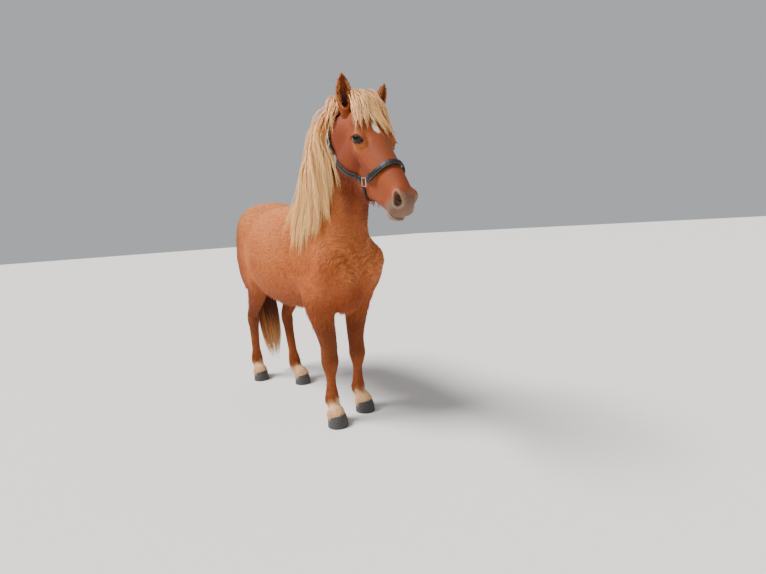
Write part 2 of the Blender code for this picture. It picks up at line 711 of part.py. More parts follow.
EAR_ROOT = dict(right=(0.020, -0.072, -0.034), left=(0.020, 0.087, -0.030))
EAR_LEAN = dict(right=(0.10, -0.12, 1.0), left=(0.10, 0.30, 1.0))
EAR_FACE = dict(right=(0.84, -0.55, 0.0), left=(0.90, 0.35, 0.0))


def ear_frame(name):
    """The ear's own frame: forward up the ear, left across it and up out of its opening."""
    root = HEAD.at(*EAR_ROOT[name])
    axis = Vector(EAR_LEAN[name]).normalized()
    opening = Vector(EAR_FACE[name])
    opening = (opening - axis * opening.dot(axis)).normalized()
    return Frame(root, axis, opening.cross(axis), opening)


def ear_forms(name):
    """A pointed leaf, rolled round a deep cup that opens forward."""
    frame = ear_frame(name)
    size = EAR_LENGTH
    leaf = Limb([
        (0.000, 0, -0.002, 0.025, 0.023, 0.025),
        (0.25 * size, 0, 0.000, 0.031, 0.022, 0.026),
        (0.50 * size, 0, 0.002, 0.036, 0.018, 0.023),
        (0.72 * size, 0, 0.003, 0.030, 0.014, 0.018),
        (0.90 * size, 0, 0.003, 0.016, 0.008, 0.010),
        (1.00 * size, 0, 0.004, 0.0045, 0.004, 0.005),
    ], frame)
    cup = Limb([
        (0.20 * size, 0, 0.013, 0.012, 0.012, 0.014),
        (0.34 * size, 0, 0.014, 0.022, 0.016, 0.022),
        (0.52 * size, 0, 0.014, 0.0290, 0.016, 0.024),
        (0.72 * size, 0, 0.013, 0.0245, 0.014, 0.018),
        (0.88 * size, 0, 0.012, 0.0110, 0.010, 0.011),
        (0.95 * size, 0, 0.012, 0.0040, 0.006, 0.006),
    ], frame)
    return [(leaf, 0.01), (cup, 0.003, "carve")]


EAR_SEAT = 0.030


def ear_shapes():
    """Each ear stands on a flat face across its root, where the head's own stub ends."""
    for name in ("right", "left"):
        frame = ear_frame(name)
        mesh = surface(ear_forms(name), (-0.02, -0.045, -0.04), (EAR_LENGTH + 0.02, 0.045, 0.035), EAR_STEP, frame)
        ear = add_object(f"ear_{name}", mesh, coat(f"coat_ear_{name}"))
        thin_out(ear, 460)
        cut_plane(ear, frame.at(EAR_SEAT, 0, 0), -frame.axes[0])


def head_with_ear_seats():
    """The head's field grows a short stub for each ear, cut flat at the seat."""
    for name in ("right", "left"):
        frame = ear_frame(name)
        HEAD_FORMS.append((Limb([(-0.02, 0, -0.004, 0.028, 0.026, 0.028),
                                 (EAR_SEAT, 0, 0.0, 0.0290, 0.0215, 0.0245)], frame), 0.014))


def cut_ear_seats():
    head = bpy.data.objects["head"]
    cutters = []
    for name in ("right", "left"):
        frame = ear_frame(name)
        cutters.append(seat_cutter(frame.at(EAR_SEAT, 0, 0), frame.axes[0], 0.042))
    cut_with(head, cutters)


def heights(points, forms):
    """Each point's height over the skin, and the skin's outward direction there."""
    step = 0.0015
    shifts = np.concatenate([np.zeros((1, 3)), np.eye(3) * step, np.eye(3) * -step])
    values = joined((points[None] + shifts[:, None]).reshape(-1, 3), forms).reshape(7, -1)
    slope = ((values[1:4] - values[4:7]) / (2 * step)).T
    steep = np.maximum(np.linalg.norm(slope, axis=1), 0.05)
    return values[0] / steep, slope / steep[:, None]


def settled(points, height, forms):
    """Points moved straight out or in until they lie at a height over the skin."""
    for _ in range(8):
        now, out = heights(points, forms)
        points = points + np.clip(height - now, -0.03, 0.03)[:, None] * out
    return points


def loft(rows, closed=False):
    """A closed body through rows of points, each row a ring of the same count."""
    bm = bmesh.new()
    rings = [[bm.verts.new(p) for p in row] for row in rows]
    count = len(rings[0])
    pairs = list(zip(rings[:-1], rings[1:])) + ([(rings[-1], rings[0])] if closed else [])
    for one, two in pairs:
        for k in range(count):
            bm.faces.new((one[k], one[(k + 1) % count], two[(k + 1) % count], two[k]))
    if not closed:
        bm.faces.new(rings[0][::-1])
        bm.faces.new(rings[-1])
    bmesh.ops.triangulate(bm, faces=bm.faces)
    face_out(bm)
    mesh = bpy.data.meshes.new("loft")
    bm.to_mesh(mesh)
    bm.free()
    return mesh


def directions(path, closed):
    ahead, behind = np.roll(path, -1, 0), np.roll(path, 1, 0)
    if not closed:
        ahead[-1], behind[0] = path[-1], path[0]
    along = ahead - behind
    return along / np.linalg.norm(along, axis=1)[:, None]


def strap_mesh(guides, width, thickness, height, steps=5):
    """A flat strap along guides given in the head's frame, lying at a height over the skin."""
    path = settled(spline_rows(HEAD.out(guides), steps), height, HEAD_FORMS)
    along = directions(path, False)
    _, out = heights(path, HEAD_FORMS)
    across = np.cross(along, out)
    across /= np.linalg.norm(across, axis=1)[:, None]
    inner = [settled(path + across * width / 2 * k, height, HEAD_FORMS) for k in (-1, 0, 1)]
    tops = [rail + out * thick for rail, thick in zip(inner, (thickness * 0.7, thickness, thickness * 0.7))]
    rows = np.stack([*inner, tops[2], tops[1], tops[0]], 1)
    return loft(rows)


def wire_mesh(guides, wire, height, sides=6, steps=1):
    """A closed ring of round wire through guides in the head's frame, its middle at a height."""
    closed = np.array([*guides, guides[0]])
    path = settled(spline_rows(HEAD.out(closed), steps)[:-1], height, HEAD_FORMS)
    along = directions(path, True)
    _, out = heights(path, HEAD_FORMS)
    across = np.cross(along, out)
    across /= np.linalg.norm(across, axis=1)[:, None]
    lift = np.cross(across, along)
    turns = 2 * np.pi * (np.arange(sides) + 0.5) / sides
    rows = path[:, None] + wire * (np.cos(turns)[:, None] * across[:, None] + np.sin(turns)[:, None] * lift[:, None])
    return loft(rows, closed=True)


STRAP_WIDTH = 0.024
STRAP_THICK = 0.0034
STRAP_HEIGHT = 0.0045
CROWN_HEIGHT = 0.0055
WIRE = 0.0026

# Where the headcollar's fittings lie on the right cheek, in the head's frame.
CHEEK_RING = (0.102, -0.100, -0.222)
NOSE_RING = (0.335, -0.062, -0.168)


def mirrored(points):
    return [(a, -b, c) for a, b, c in points]


def ring_guides(centre, along, reach_along, reach_across, round_corners):
    """Guides round a fitting that lies on the cheek, its long way along a direction in (a, c)."""
    along = np.array([along[0], 0.0, along[1]]) / math.hypot(*along)
    across = np.array([-along[2], 0.0, along[0]])
    corners = 12 if round_corners else 8
    guides = []
    for k in range(corners):
        angle = 2 * math.pi * k / corners
        c, s = math.cos(angle), math.sin(angle)
        if not round_corners:
            c, s = (round(c * 1.2) if k % 2 else c), (round(s * 1.2) if k % 2 else s)
        guides.append(tuple(np.array(centre) + along * c * reach_along + across * s * reach_across))
    return guides


def headcollar():
    """Crown strap over the poll, cheek straps, padded noseband, chin and throat straps, and fittings."""
    leather = (0.03, 0.03, 0.035)
    steel = (0.75, 0.74, 0.72)
    ring = 0.018
    for name, flip in (("right", list), ("left", mirrored)):
        loop = wire_mesh(flip(ring_guides(CHEEK_RING, (0.75, 0.2), ring, ring, True)), WIRE, STRAP_HEIGHT + WIRE)
        add_object(f"cheek_ring_{name}", loop, material(f"steel_cheek_{name}", steel, 0.3, 1.0))
        square = ring_guides(NOSE_RING, (0.55, -0.80), 0.019, 0.016, False)
        loop = wire_mesh(flip(square), WIRE, STRAP_HEIGHT + WIRE)
        add_object(f"nose_ring_{name}", loop, material(f"steel_nose_{name}", steel, 0.3, 1.0))
        guides = flip([(0.124, -0.098, -0.222), (0.150, -0.095, -0.215), (0.190, -0.090, -0.206), (0.250, -0.075, -0.196),
                       (0.312, -0.064, -0.1765)])
        add_object(f"cheek_strap_{name}", strap_mesh(guides, STRAP_WIDTH, STRAP_THICK, STRAP_HEIGHT, 3),
                   material(f"leather_cheek_{name}", leather, 0.5))
        frame = ring_guides((0.018, -0.105, -0.180), (0.88, -0.40), 0.024, 0.018, False)
        lift = CROWN_HEIGHT + STRAP_THICK + WIRE * 2
        add_object(f"buckle_{name}", wire_mesh(flip(frame), WIRE, lift), material(f"steel_buckle_{name}", steel, 0.3, 1.0))
    crown = [(0.080, -0.105, -0.212), (0.018, -0.105, -0.180), (-0.035, -0.100, -0.125), (-0.072, -0.070, -0.070)]
    path = crown + [(-0.076, 0.0, -0.020)] + mirrored(crown)[::-1]
    add_object("crown_strap", strap_mesh(path, STRAP_WIDTH, STRAP_THICK, CROWN_HEIGHT, 3),
               material("leather_crown", leather, 0.5))
    nose = [(0.349, -0.062, -0.146), (0.378, -0.062, -0.105), (0.400, -0.056, -0.055), (0.408, -0.030, -0.010)]
    path = nose + [(0.410, 0.0, -0.002)] + mirrored(nose)[::-1]
    add_object("noseband", strap_mesh(path, 0.028, 0.007, STRAP_HEIGHT, 3), material("leather_nose", leather, 0.5))
    chin = [(0.338, -0.055, -0.192), (0.350, -0.030, -0.225)]
    path = chin + [(0.356, 0.0, -0.235)] + mirrored(chin)[::-1]
    add_object("chin_strap", strap_mesh(path, 0.022, STRAP_THICK, STRAP_HEIGHT, 4), material("leather_chin", leather, 0.5))
    throat = [(0.104, -0.088, -0.246), (0.115, -0.070, -0.275), (0.125, -0.040, -0.300)]
    path = throat + [(0.130, 0.0, -0.305)] + mirrored(throat)[::-1]
    add_object("throat_strap", strap_mesh(path, 0.020, STRAP_THICK, STRAP_HEIGHT + 0.002, 3),
               material("leather_throat", leather, 0.5))


def join_forms(name, pieces):
    """Join closed pieces to the node they grow from."""
    node = bpy.data.objects[name]
    group = bpy.data.collections.new("joined")
    bpy.context.scene.collection.children.link(group)
    for piece in pieces:
        for owner in list(piece.users_collection):
            owner.objects.unlink(piece)
        group.objects.link(piece)
    modifier = node.modifiers.new("join", "BOOLEAN")
    modifier.operation = "UNION"
    modifier.operand_type = "COLLECTION"
    modifier.collection = group
    finish_modifiers(node)
    for piece in pieces:
        bpy.data.objects.remove(piece)
    bpy.data.collections.remove(group)
    bm = bmesh.new()
    bm.from_mesh(node.data)
    keep_largest(bm)
    bmesh.ops.triangulate(bm, faces=bm.faces)
    bm.to_mesh(node.data)
    bm.free()


LOCK_THICK = 0.008
LOCK_STATIONS = 6
EDGE_HEIGHT = 0.003
STEADY = 0.6
MANE_SWELL = (0.35, 0.75, 1.0, 0.9, 0.6)
MANE_LAYER = 0.048
MANE_WIDTH = 0.057
PLUME_HEIGHTS = (0.045, 0.085, 0.104, 0.090, 0.055)
PLUME_WIDTH = 0.036
FORELOCK_HEIGHTS = (0.024, 0.024, 0.017, 0.012, 0.010)
FORELOCK_WIDTH = 0.030
TAIL_WIDTH = 0.052
MANE_LOCKS = 21
PLUME_LOCKS = 6
FORELOCK_LOCKS = 7
OUTER_TAIL_LOCKS = 8
INNER_TAIL_LOCKS = 4


def raised(points, height, forms):
    """Points moved straight out wherever they lie lower than a height over the skin."""
    for _ in range(6):
        now, out = heights(points, forms)
        points = points + np.clip(height - now, 0, 0.03)[:, None] * out
    return points


def fallen(roots, ways, lengths, lifts, forms, pull):
    """Paths of locks that leave their roots along their own ways and fall at their heights over the skin."""
    paths = [roots]
    for share, lift in zip(np.diff(np.linspace(0, 1, LOCK_STATIONS) ** 1.3), lifts.T):
        ways = ways + pull
        ways /= np.linalg.norm(ways, axis=1)[:, None]
        spots = settled(paths[-1] + ways * (lengths * share)[:, None], lift, forms)
        ways = spots - paths[-1]
        ways /= np.linalg.norm(ways, axis=1)[:, None]
        paths.append(spots)
    return np.stack(paths, 1)


def lock_shape(path, outs, width, forms):
    """One flat, tapered lock along a path, widest after its root and thin at its tip."""
    along = directions(path, False)
    across = np.cross(along, outs)
    for k in range(len(path) - 2, -1, -1):
        if np.linalg.norm(across[k]) < STEADY or across[k] @ across[k + 1] < 0:
            across[k] = across[k + 1] - along[k] * (along[k] @ across[k + 1])
    across /= np.linalg.norm(across, axis=1)[:, None]
    outs = np.cross(across, along)
    share = np.linspace(0, 1, len(path))
    half = width / 2 * np.interp(share, (0, 0.2, 0.7, 1), (0.6, 1, 0.85, 0.08))
    deep = LOCK_THICK / 2 * np.interp(share, (0, 0.3, 0.7, 1), (1, 1, 0.8, 0.15))
    edges = [path - across * half[:, None], path + across * half[:, None]]
    if forms:
        edges = [np.concatenate([edge[:2], raised(edge[2:], EDGE_HEIGHT, forms)]) for edge in edges]
    low, high = path - outs * deep[:, None], path + outs * deep[:, None]
    return add_object("lock", loft(np.stack([edges[0], low, edges[1], high], 1)), mane_hair("hair_lock"))


def neck_locks(roots, ways, lengths, lifts, width, pull, draw):
    """Locks rooted in the neck, shaped over it and the head."""
    forms = BODY_FORMS + head_forms()
    pieces = []
    for path in fallen(roots, ways, lengths, lifts, forms, pull):
        near, outs = heights(path, forms)
        outs[near > FAR / 2] = (0.0, -1.0, 0.0)
        pieces.append(lock_shape(path, outs, width * draw.uniform(0.85, 1.15), forms))
    return pieces


def mane_shape():
    """The mane: three layers of flat locks from the crest over the right side, and a plume at the poll."""
    draw = np.random.default_rng(5)
    number = np.arange(MANE_LOCKS)
    layer = number % 3
    t = (number + 0.5) / MANE_LOCKS
    roots = np.stack([0.455 + 0.310 * t, -0.012 - 0.080 * t - 0.014 * (1 - layer), 1.44 + 0.25 * t], 1)
    roots = settled(roots, -0.020, BODY_FORMS)
    ways = np.stack([draw.normal(-0.15, 0.10, MANE_LOCKS), np.full(MANE_LOCKS, -0.9), 0.1 + 0.2 * layer], 1)
    tips = 1.03 + 0.38 * t + draw.uniform(-0.03, 0.03, MANE_LOCKS)
    lengths = roots[:, 2] - tips + 0.08 + 0.02 * layer
    tops = 0.012 + MANE_LAYER * layer * np.clip(0.3 + 1.6 * t, 0, 1)
    lifts = np.outer(tops, MANE_SWELL)
    pull = np.stack([-0.12 * (1 - t) - 0.02, np.zeros(MANE_LOCKS), np.full(MANE_LOCKS, -0.6)], 1)
    pieces = neck_locks(roots, ways, lengths, lifts, MANE_WIDTH, pull, draw)
    side = np.linspace(-0.35, 1.0, PLUME_LOCKS)
    rows = np.ones(PLUME_LOCKS)
    roots = settled(np.stack([0.750 * rows, -0.100 + 0.024 * side, 1.70 * rows], 1), -0.018, BODY_FORMS)
    ways = np.stack([0.15 * rows, 0.9 * side, rows], 1)
    lifts = np.outer(1 - 0.3 * abs(side), PLUME_HEIGHTS)
    pull = np.stack([np.minimum(0.3 * side, 0), 0.3 * side, -0.45 * rows], 1)
    pieces += neck_locks(roots, ways, 0.23 + 0.06 * abs(side), lifts, PLUME_WIDTH, pull, draw)
    join_forms("neck", pieces)


def forelock_shape():
    """The forelock: locks from between the ears, up and over the forehead to the right."""
    draw = np.random.default_rng(6)
    number = np.arange(FORELOCK_LOCKS)
    layer = number % 2
    spread = (number + 0.5) / FORELOCK_LOCKS - 0.5
    roots = HEAD.out(np.stack([0.020 - 0.022 * layer, 0.064 * spread, np.zeros(FORELOCK_LOCKS)], 1))
    roots = settled(roots, -0.012, HEAD_FORMS)
    ways = np.stack([np.full(FORELOCK_LOCKS, 0.5), 0.9 * spread - 0.25, 0.7 + 0.35 * layer], 1) @ HEAD.axes
    lengths = draw.uniform(0.19, 0.25, FORELOCK_LOCKS) - 0.06 * abs(spread)
    lifts = np.outer(0.6 + 0.9 * layer, FORELOCK_HEIGHTS)
    paths = fallen(roots, ways, lengths, lifts, HEAD_FORMS, np.array([0.05, -0.06, -0.5]))
    pieces = []
    for path in paths:
        _, outs = heights(path, HEAD_FORMS)
        pieces.append(lock_shape(path, outs, FORELOCK_WIDTH * draw.uniform(0.85, 1.15), HEAD_FORMS))
    join_forms("head", pieces)


# The middle of the tail from the dock to its tips, as (x, y, z, half width across, half width fore and aft).
TAIL_LINE = [
    (-0.720, 0.000, 1.205, 0.026, 0.022),
    (-0.790, 0.004, 1.110, 0.040, 0.026),
    (-0.795, 0.022, 0.940, 0.060, 0.032),
    (-0.772, 0.040, 0.700, 0.080, 0.040),
    (-0.758, 0.056, 0.450, 0.084, 0.040),
    (-0.750, 0.064, 0.270, 0.070, 0.032),
    (-0.744, 0.066, TAIL_TIP_HEIGHT, 0.040, 0.020),
]


def tail_shape():
    """The tail: a short dock, and locks all round it that hang and close towards their tips."""
    dock = Limb([
        (-0.655, 0.000, 1.245, 0.040, 0.045, 0.045),
        (-0.720, 0.000, 1.205, 0.038, 0.036, 0.038),
        (-0.784, 0.004, 1.110, 0.034, 0.024, 0.026),
        (-0.790, 0.012, 1.000, 0.022, 0.014, 0.014),
    ])
    mesh = surface([(dock, 0.01)], (-0.86, -0.10, 0.94), (-0.60, 0.10, 1.32), 0.010)
    tail = add_object("tail", mesh, mane_hair("hair_tail"))
    thin_out(tail, 200)
    draw = np.random.default_rng(7)
    line = spline_rows(TAIL_LINE, 6)
    pieces = []
    for number in range(OUTER_TAIL_LOCKS + INNER_TAIL_LOCKS):
        inner = number >= OUTER_TAIL_LOCKS
        ring = INNER_TAIL_LOCKS if inner else OUTER_TAIL_LOCKS
        turn = 2 * math.pi * (number + 0.3) / ring
        top = 1.165 - 0.012 * (3 * number % 10)
        tip = TAIL_TIP_HEIGHT + 0.01 + draw.uniform(0.0, 0.12)
        z = top + (tip - top) * np.linspace(0, 1, LOCK_STATIONS) ** 1.15
        x, y, wide, deep = (np.interp(-z, -line[:, 2], line[:, k]) for k in (0, 1, 3, 4))
        reach = (0.45 if inner else 1.0) * np.interp(np.arange(LOCK_STATIONS), (0, 1, 2), (0.35, 0.9, 1.0))
        path = np.stack([x - np.cos(turn) * deep * reach, y + np.sin(turn) * wide * reach, z], 1)
        outs = np.tile([-math.cos(turn), math.sin(turn), 0.15], (LOCK_STATIONS, 1))
        pieces.append(lock_shape(path, outs, TAIL_WIDTH * draw.uniform(0.85, 1.15), None))
    join_forms("tail", pieces)
    point, normal = TAIL_CUT
    cut_plane(tail, point, -np.array(normal))


def clear_scene():
    for piece in list(bpy.data.objects):
        bpy.data.objects.remove(piece)


def main():
    clear_scene()
    torso_shape()
    neck_shape()
    for name in STANCE:
        leg_shapes(name)
    head_with_ear_seats()
    head_shape()
    cut_ear_seats()
    eye_shapes()
    ear_shapes()
    headcollar()
    mane_shape()
    forelock_shape()
    tail_shape()
    for piece in bpy.data.objects:
        piece.data.transform(Matrix.Translation((-BOX_MIDDLE, 0, 0)))


main()
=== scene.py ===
"""The looks of the Icelandic horse: skin, short coat, mane, forelock, tail, eyes, hooves and headcollar.

The flesh is worked out here from the same named sizes and forms as the solids, in metres, round the
trunk's own middle, and each finished mesh is slid back by BOX_MIDDLE into the frame.
"""

import json
import math

import bmesh
import bpy
import numpy as np
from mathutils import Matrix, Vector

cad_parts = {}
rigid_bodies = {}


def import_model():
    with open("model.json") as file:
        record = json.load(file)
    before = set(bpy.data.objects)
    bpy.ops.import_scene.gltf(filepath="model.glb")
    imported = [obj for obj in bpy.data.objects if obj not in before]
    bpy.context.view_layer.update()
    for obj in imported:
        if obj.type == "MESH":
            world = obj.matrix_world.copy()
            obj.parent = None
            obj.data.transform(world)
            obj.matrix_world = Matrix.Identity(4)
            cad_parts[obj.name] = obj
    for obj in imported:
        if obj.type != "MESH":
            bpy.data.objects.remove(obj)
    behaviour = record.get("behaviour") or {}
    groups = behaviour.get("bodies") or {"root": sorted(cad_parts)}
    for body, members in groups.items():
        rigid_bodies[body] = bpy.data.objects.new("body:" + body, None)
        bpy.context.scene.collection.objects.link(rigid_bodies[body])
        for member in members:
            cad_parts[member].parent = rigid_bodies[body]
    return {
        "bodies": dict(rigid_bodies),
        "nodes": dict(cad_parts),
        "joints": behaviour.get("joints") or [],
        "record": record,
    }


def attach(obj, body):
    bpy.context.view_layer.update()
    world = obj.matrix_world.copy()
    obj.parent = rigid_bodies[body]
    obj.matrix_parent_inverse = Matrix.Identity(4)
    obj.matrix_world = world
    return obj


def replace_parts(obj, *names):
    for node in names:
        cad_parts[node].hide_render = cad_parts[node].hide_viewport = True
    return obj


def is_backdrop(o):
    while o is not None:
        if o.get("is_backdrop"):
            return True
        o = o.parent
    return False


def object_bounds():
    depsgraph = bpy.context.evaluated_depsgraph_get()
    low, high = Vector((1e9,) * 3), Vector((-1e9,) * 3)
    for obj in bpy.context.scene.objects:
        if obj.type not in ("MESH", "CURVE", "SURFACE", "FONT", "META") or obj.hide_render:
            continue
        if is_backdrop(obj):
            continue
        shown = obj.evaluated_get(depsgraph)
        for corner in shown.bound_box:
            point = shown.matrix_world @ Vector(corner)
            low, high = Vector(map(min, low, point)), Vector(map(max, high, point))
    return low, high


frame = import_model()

import openvdb
from mathutils import Matrix, Vector

cad_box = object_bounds()

WITHERS_HEIGHT = 1.39
CROUP_HEIGHT = 1.415
BACK_HEIGHT = 1.342
BELLY_HEIGHT = 0.665
GIRTH_HEIGHT = 0.695
BARREL_HALF_WIDTH = 0.300
ELBOW_HEIGHT = 0.80
KNEE_HEIGHT = 0.385
HOCK_HEIGHT = 0.505
FETLOCK_HEIGHT = 0.157
EYE_RADIUS = 0.0225
EAR_LENGTH = 0.160
TAIL_TIP_HEIGHT = 0.15
STANCE = {
    "right_fore": dict(hoof=(0.490, -0.112), fetlock=(0.446, -0.107), knee=(0.440, -0.102),
                       elbow=(0.415, -0.135)),
    "left_fore": dict(hoof=(0.442, 0.128), fetlock=(0.408, 0.116), knee=(0.415, 0.117),
                      elbow=(0.405, 0.145)),
    "right_hind": dict(hoof=(-0.648, -0.108), fetlock=(-0.705, -0.104), hock=(-0.668, -0.116),
                       stifle=(-0.375, -0.150)),
    "left_hind": dict(hoof=(-0.308, 0.085), fetlock=(-0.385, 0.072), hock=(-0.480, 0.088),
                      stifle=(-0.285, 0.145)),
}
POLL = (0.932, -0.120, 1.699)
HEAD_TURN = -10.9
HEAD_NOD = 45.5
HEAD_TILT = -5.9
FAR = 1.0
BOX_MIDDLE = 0.237
HEAD_CUT = ((0.800, -0.100, 1.600), (0.985, -0.15, 0.03))
SIDES = (-1, 1)
SIDE_NAMES = ("right", "left")


class Frame:
    """A place with its own axes: forward, left and up."""

    def __init__(self, origin, forward, left, up):
        self.origin = np.array(origin, float)
        self.axes = np.array([forward, left, up], float)

    def out(self, points):
        """World points from points in the frame."""
        return self.origin + np.asarray(points, float) @ self.axes

    def place(self, points):
        """Points in the frame from world points."""
        return (points - self.origin) @ self.axes.T


def head_frame():
    turn, nod, tilt = (math.radians(a) for a in (HEAD_TURN, HEAD_NOD, HEAD_TILT))
    forward = Vector((math.cos(turn) * math.cos(nod), math.sin(turn) * math.cos(nod), -math.sin(nod)))
    left = Matrix.Rotation(tilt, 3, forward) @ Vector((-math.sin(turn), math.cos(turn), 0))
    return Frame(POLL, forward, left, forward.cross(left))


HEAD = head_frame()
WORLD = Frame((0, 0, 0), (1, 0, 0), (0, 1, 0), (0, 0, 1))


def unit(rows, floor=1e-9):
    """Vectors brought to length 1."""
    return rows / np.maximum(np.linalg.norm(rows, axis=-1), floor)[..., None]


def smooth_min(a, b, blend):
    share = np.clip(0.5 + 0.5 * (b - a) / blend, 0, 1)
    return b * (1 - share) + a * share - blend * share * (1 - share)


def spline_rows(rows, steps):
    """Catmull-Rom through rows of numbers, with so many steps a span."""
    rows = np.array(rows, float)
    padded = np.vstack([2 * rows[0] - rows[1], rows, 2 * rows[-1] - rows[-2]])
    made = []
    for i in range(len(rows) - 1):
        p0, p1, p2, p3 = padded[i : i + 4]
        for t in np.arange(steps) / steps:
            line = 2 * p1 + (p2 - p0) * t
            bend = (2 * p0 - 5 * p1 + 4 * p2 - p3) * t**2 + (3 * p1 - p0 - 3 * p2 + p3) * t**3
            made.append((line + bend) / 2)
    return np.array([*made, rows[-1]])


class Limb:
    """A bending body of oval section through stations of (x, y, z, half width, front, back).

    The front is the top of a body walked forward, the front of a leg walked down and the crest of
    a neck walked up. Stations are in the frame's own axes.
    """

    def __init__(self, stations, frame=WORLD, steps=4):
        rows = np.array(stations, float)
        rows[:, :3] = frame.out(rows[:, :3])
        self.rows = spline_rows(rows, steps)
        self.left = frame.axes[1]
        reach = self.rows[:, 3:].max()
        self.low = self.rows[:, :3].min(0) - reach
        self.high = self.rows[:, :3].max(0) + reach

    def distance(self, points):
        best = np.full(len(points), FAR)
        for a, b in zip(self.rows[:-1], self.rows[1:]):
            margin = max(a[3:].max(), b[3:].max()) + 0.08
            near = np.all(points > np.minimum(a[:3], b[:3]) - margin, axis=1)
            near &= np.all(points < np.maximum(a[:3], b[:3]) + margin, axis=1)
            if not near.any():
                continue
            along = b[:3] - a[:3]
            length = np.linalg.norm(along)
            along = along / length
            left = self.left - along * (self.left @ along)
            left /= np.linalg.norm(left)
            front = np.cross(along, left)
            local = points[near] - a[:3]
            t = np.clip(local @ along / length, 0, 1)
            sizes = a[3:] + t[:, None] * (b[3:] - a[3:])
            local -= np.outer(t * length, along)
            across, ahead, beyond = local @ left, local @ front, local @ along
            depth = np.where(ahead > 0, sizes[:, 1], sizes[:, 2])
            ends = np.minimum(sizes[:, 0], depth)
            ratio = np.sqrt((across / sizes[:, 0]) ** 2 + (ahead / depth) ** 2 + (beyond / ends) ** 2)
            ratio = np.maximum(ratio, 1e-4)
            radius = np.sqrt(across**2 + ahead**2 + beyond**2)
            best[near] = np.minimum(best[near], np.maximum(radius, 1e-5) * (1 - 1 / ratio))
        return best


class Ball:
    """An ellipsoid with radii along its frame's axes, nose down by pitch and left by yaw, in degrees."""

    def __init__(self, centre, radii, pitch=0.0, yaw=0.0, frame=WORLD):
        self.centre = frame.out(centre)
        self.radii = np.array(radii, float)
        turn = Matrix.Rotation(math.radians(yaw), 3, "Z") @ Matrix.Rotation(math.radians(pitch), 3, "Y")
        self.axes = np.array(turn).T @ frame.axes
        reach = self.radii.max()
        self.low, self.high = self.centre - reach, self.centre + reach

    def distance(self, points):
        local = (points - self.centre) @ self.axes.T
        scaled = local / self.radii
        near = np.maximum(np.linalg.norm(scaled, axis=1), 1e-4)
        slope = np.maximum(np.linalg.norm(scaled / self.radii, axis=1), 1e-4)
        return near * (near - 1) / slope


class Line:
    """The distance from a bending line, for grooves and ridges drawn on the surface."""

    def __init__(self, points, frame=WORLD, steps=4):
        self.rows = spline_rows(frame.out(points), steps)
        self.low, self.high = self.rows.min(0), self.rows.max(0)

    def distance(self, points):
        best = np.full(len(points), FAR)
        for a, b in zip(self.rows[:-1], self.rows[1:]):
            along = b - a
            t = np.clip((points - a) @ along / (along @ along), 0, 1)
            best = np.minimum(best, np.linalg.norm(points - a - np.outer(t, along), axis=1))
        return best


def reach_of(blend, how):
    """How far past its own box a form still matters."""
    return 2.5 * blend if how and how[0] != "carve" else 2 * blend + 0.04


def joined(points, forms):
    """The field of all forms: (shape, blend) adds, (shape, blend, "carve") cuts away and
    (line, width, depth) presses a soft groove in."""
    field = np.full(len(points), FAR)
    for shape, blend, *how in forms:
        margin = reach_of(blend, how)
        near = np.all((points > shape.low - margin) & (points < shape.high + margin), axis=1)
        if not near.any():
            continue
        values = shape.distance(points[near])
        if not how:
            field[near] = smooth_min(field[near], values, blend)
        elif how[0] == "carve":
            field[near] = -smooth_min(-field[near], values, blend)
        else:
            field[near] += how[0] * np.exp(-((values / blend) ** 2))
    return field


def torso_forms():
    back, belly = BACK_HEIGHT, BELLY_HEIGHT
    barrel = Limb([
        (-0.66, 0, 1.09, 0.085, 0.10, 0.13),
        (-0.56, 0, 1.11, 0.165, 0.20, 0.20),
        (-0.42, 0, 1.09, 0.215, CROUP_HEIGHT - 1.105, 0.265),
        (-0.24, 0, 1.02, BARREL_HALF_WIDTH - 0.030, back + 0.010 - 1.02, 1.02 - belly - 0.060),
        (-0.10, 0, 0.99, BARREL_HALF_WIDTH, back - 0.99, 0.99 - belly - 0.005),
        (0.07, 0, 0.98, BARREL_HALF_WIDTH - 0.010, back - 0.98, 0.98 - belly),
        (0.26, 0, 1.00, 0.245, back + 0.010 - 1.00, 1.00 - GIRTH_HEIGHT),
        (0.42, 0, 1.02, 0.195, 0.28, 0.285),
        (0.54, 0, 1.01, 0.150, 0.22, 0.235),
    ])
    withers = Limb([
        (0.06, 0, 1.265, 0.060, 0.032, 0.08),
        (0.22, 0, 1.320, 0.050, WITHERS_HEIGHT - 1.330, 0.08),
        (0.35, 0, 1.345, 0.046, WITHERS_HEIGHT - 1.345, 0.10),
        (0.48, 0, 1.390, 0.044, 0.045, 0.12),
    ])
    forms = [(barrel, 0.03), (withers, 0.07)]
    for side in SIDES:
        forms += [
            (Ball((-0.41, side * 0.105, 1.215), (0.205, 0.125, 0.150), pitch=-6), 0.06),
            (Ball((-0.49, side * 0.127, 1.060), (0.190, 0.107, 0.240), pitch=8), 0.05),
            (Ball((-0.635, side * 0.078, 1.010), (0.095, 0.074, 0.190), pitch=2), 0.05),
            (Limb([(0.250, side * 0.070, 1.240, 0.052, 0.070, 0.080),
                   (0.350, side * 0.110, 1.165, 0.062, 0.095, 0.105),
                   (0.460, side * 0.142, 1.075, 0.064, 0.095, 0.105),
                   (0.570, side * 0.145, 0.990, 0.066, 0.085, 0.090)]), 0.05),
            (Limb([(0.605, side * 0.132, 0.970, 0.076, 0.080, 0.080),
                   (0.545, side * 0.145, 0.890, 0.074, 0.095, 0.085),
                   (0.470, side * 0.145, 0.800, 0.066, 0.090, 0.085)]), 0.05),
            (Ball((0.350, side * 0.165, 0.930), (0.125, 0.060, 0.130), pitch=20), 0.05),
            (Ball((0.600, side * 0.075, 0.930), (0.078, 0.080, 0.135)), 0.04),
        ]
    forms.append((Ball((0.49, 0, 0.775), (0.145, 0.095, 0.112)), 0.06))
    return forms


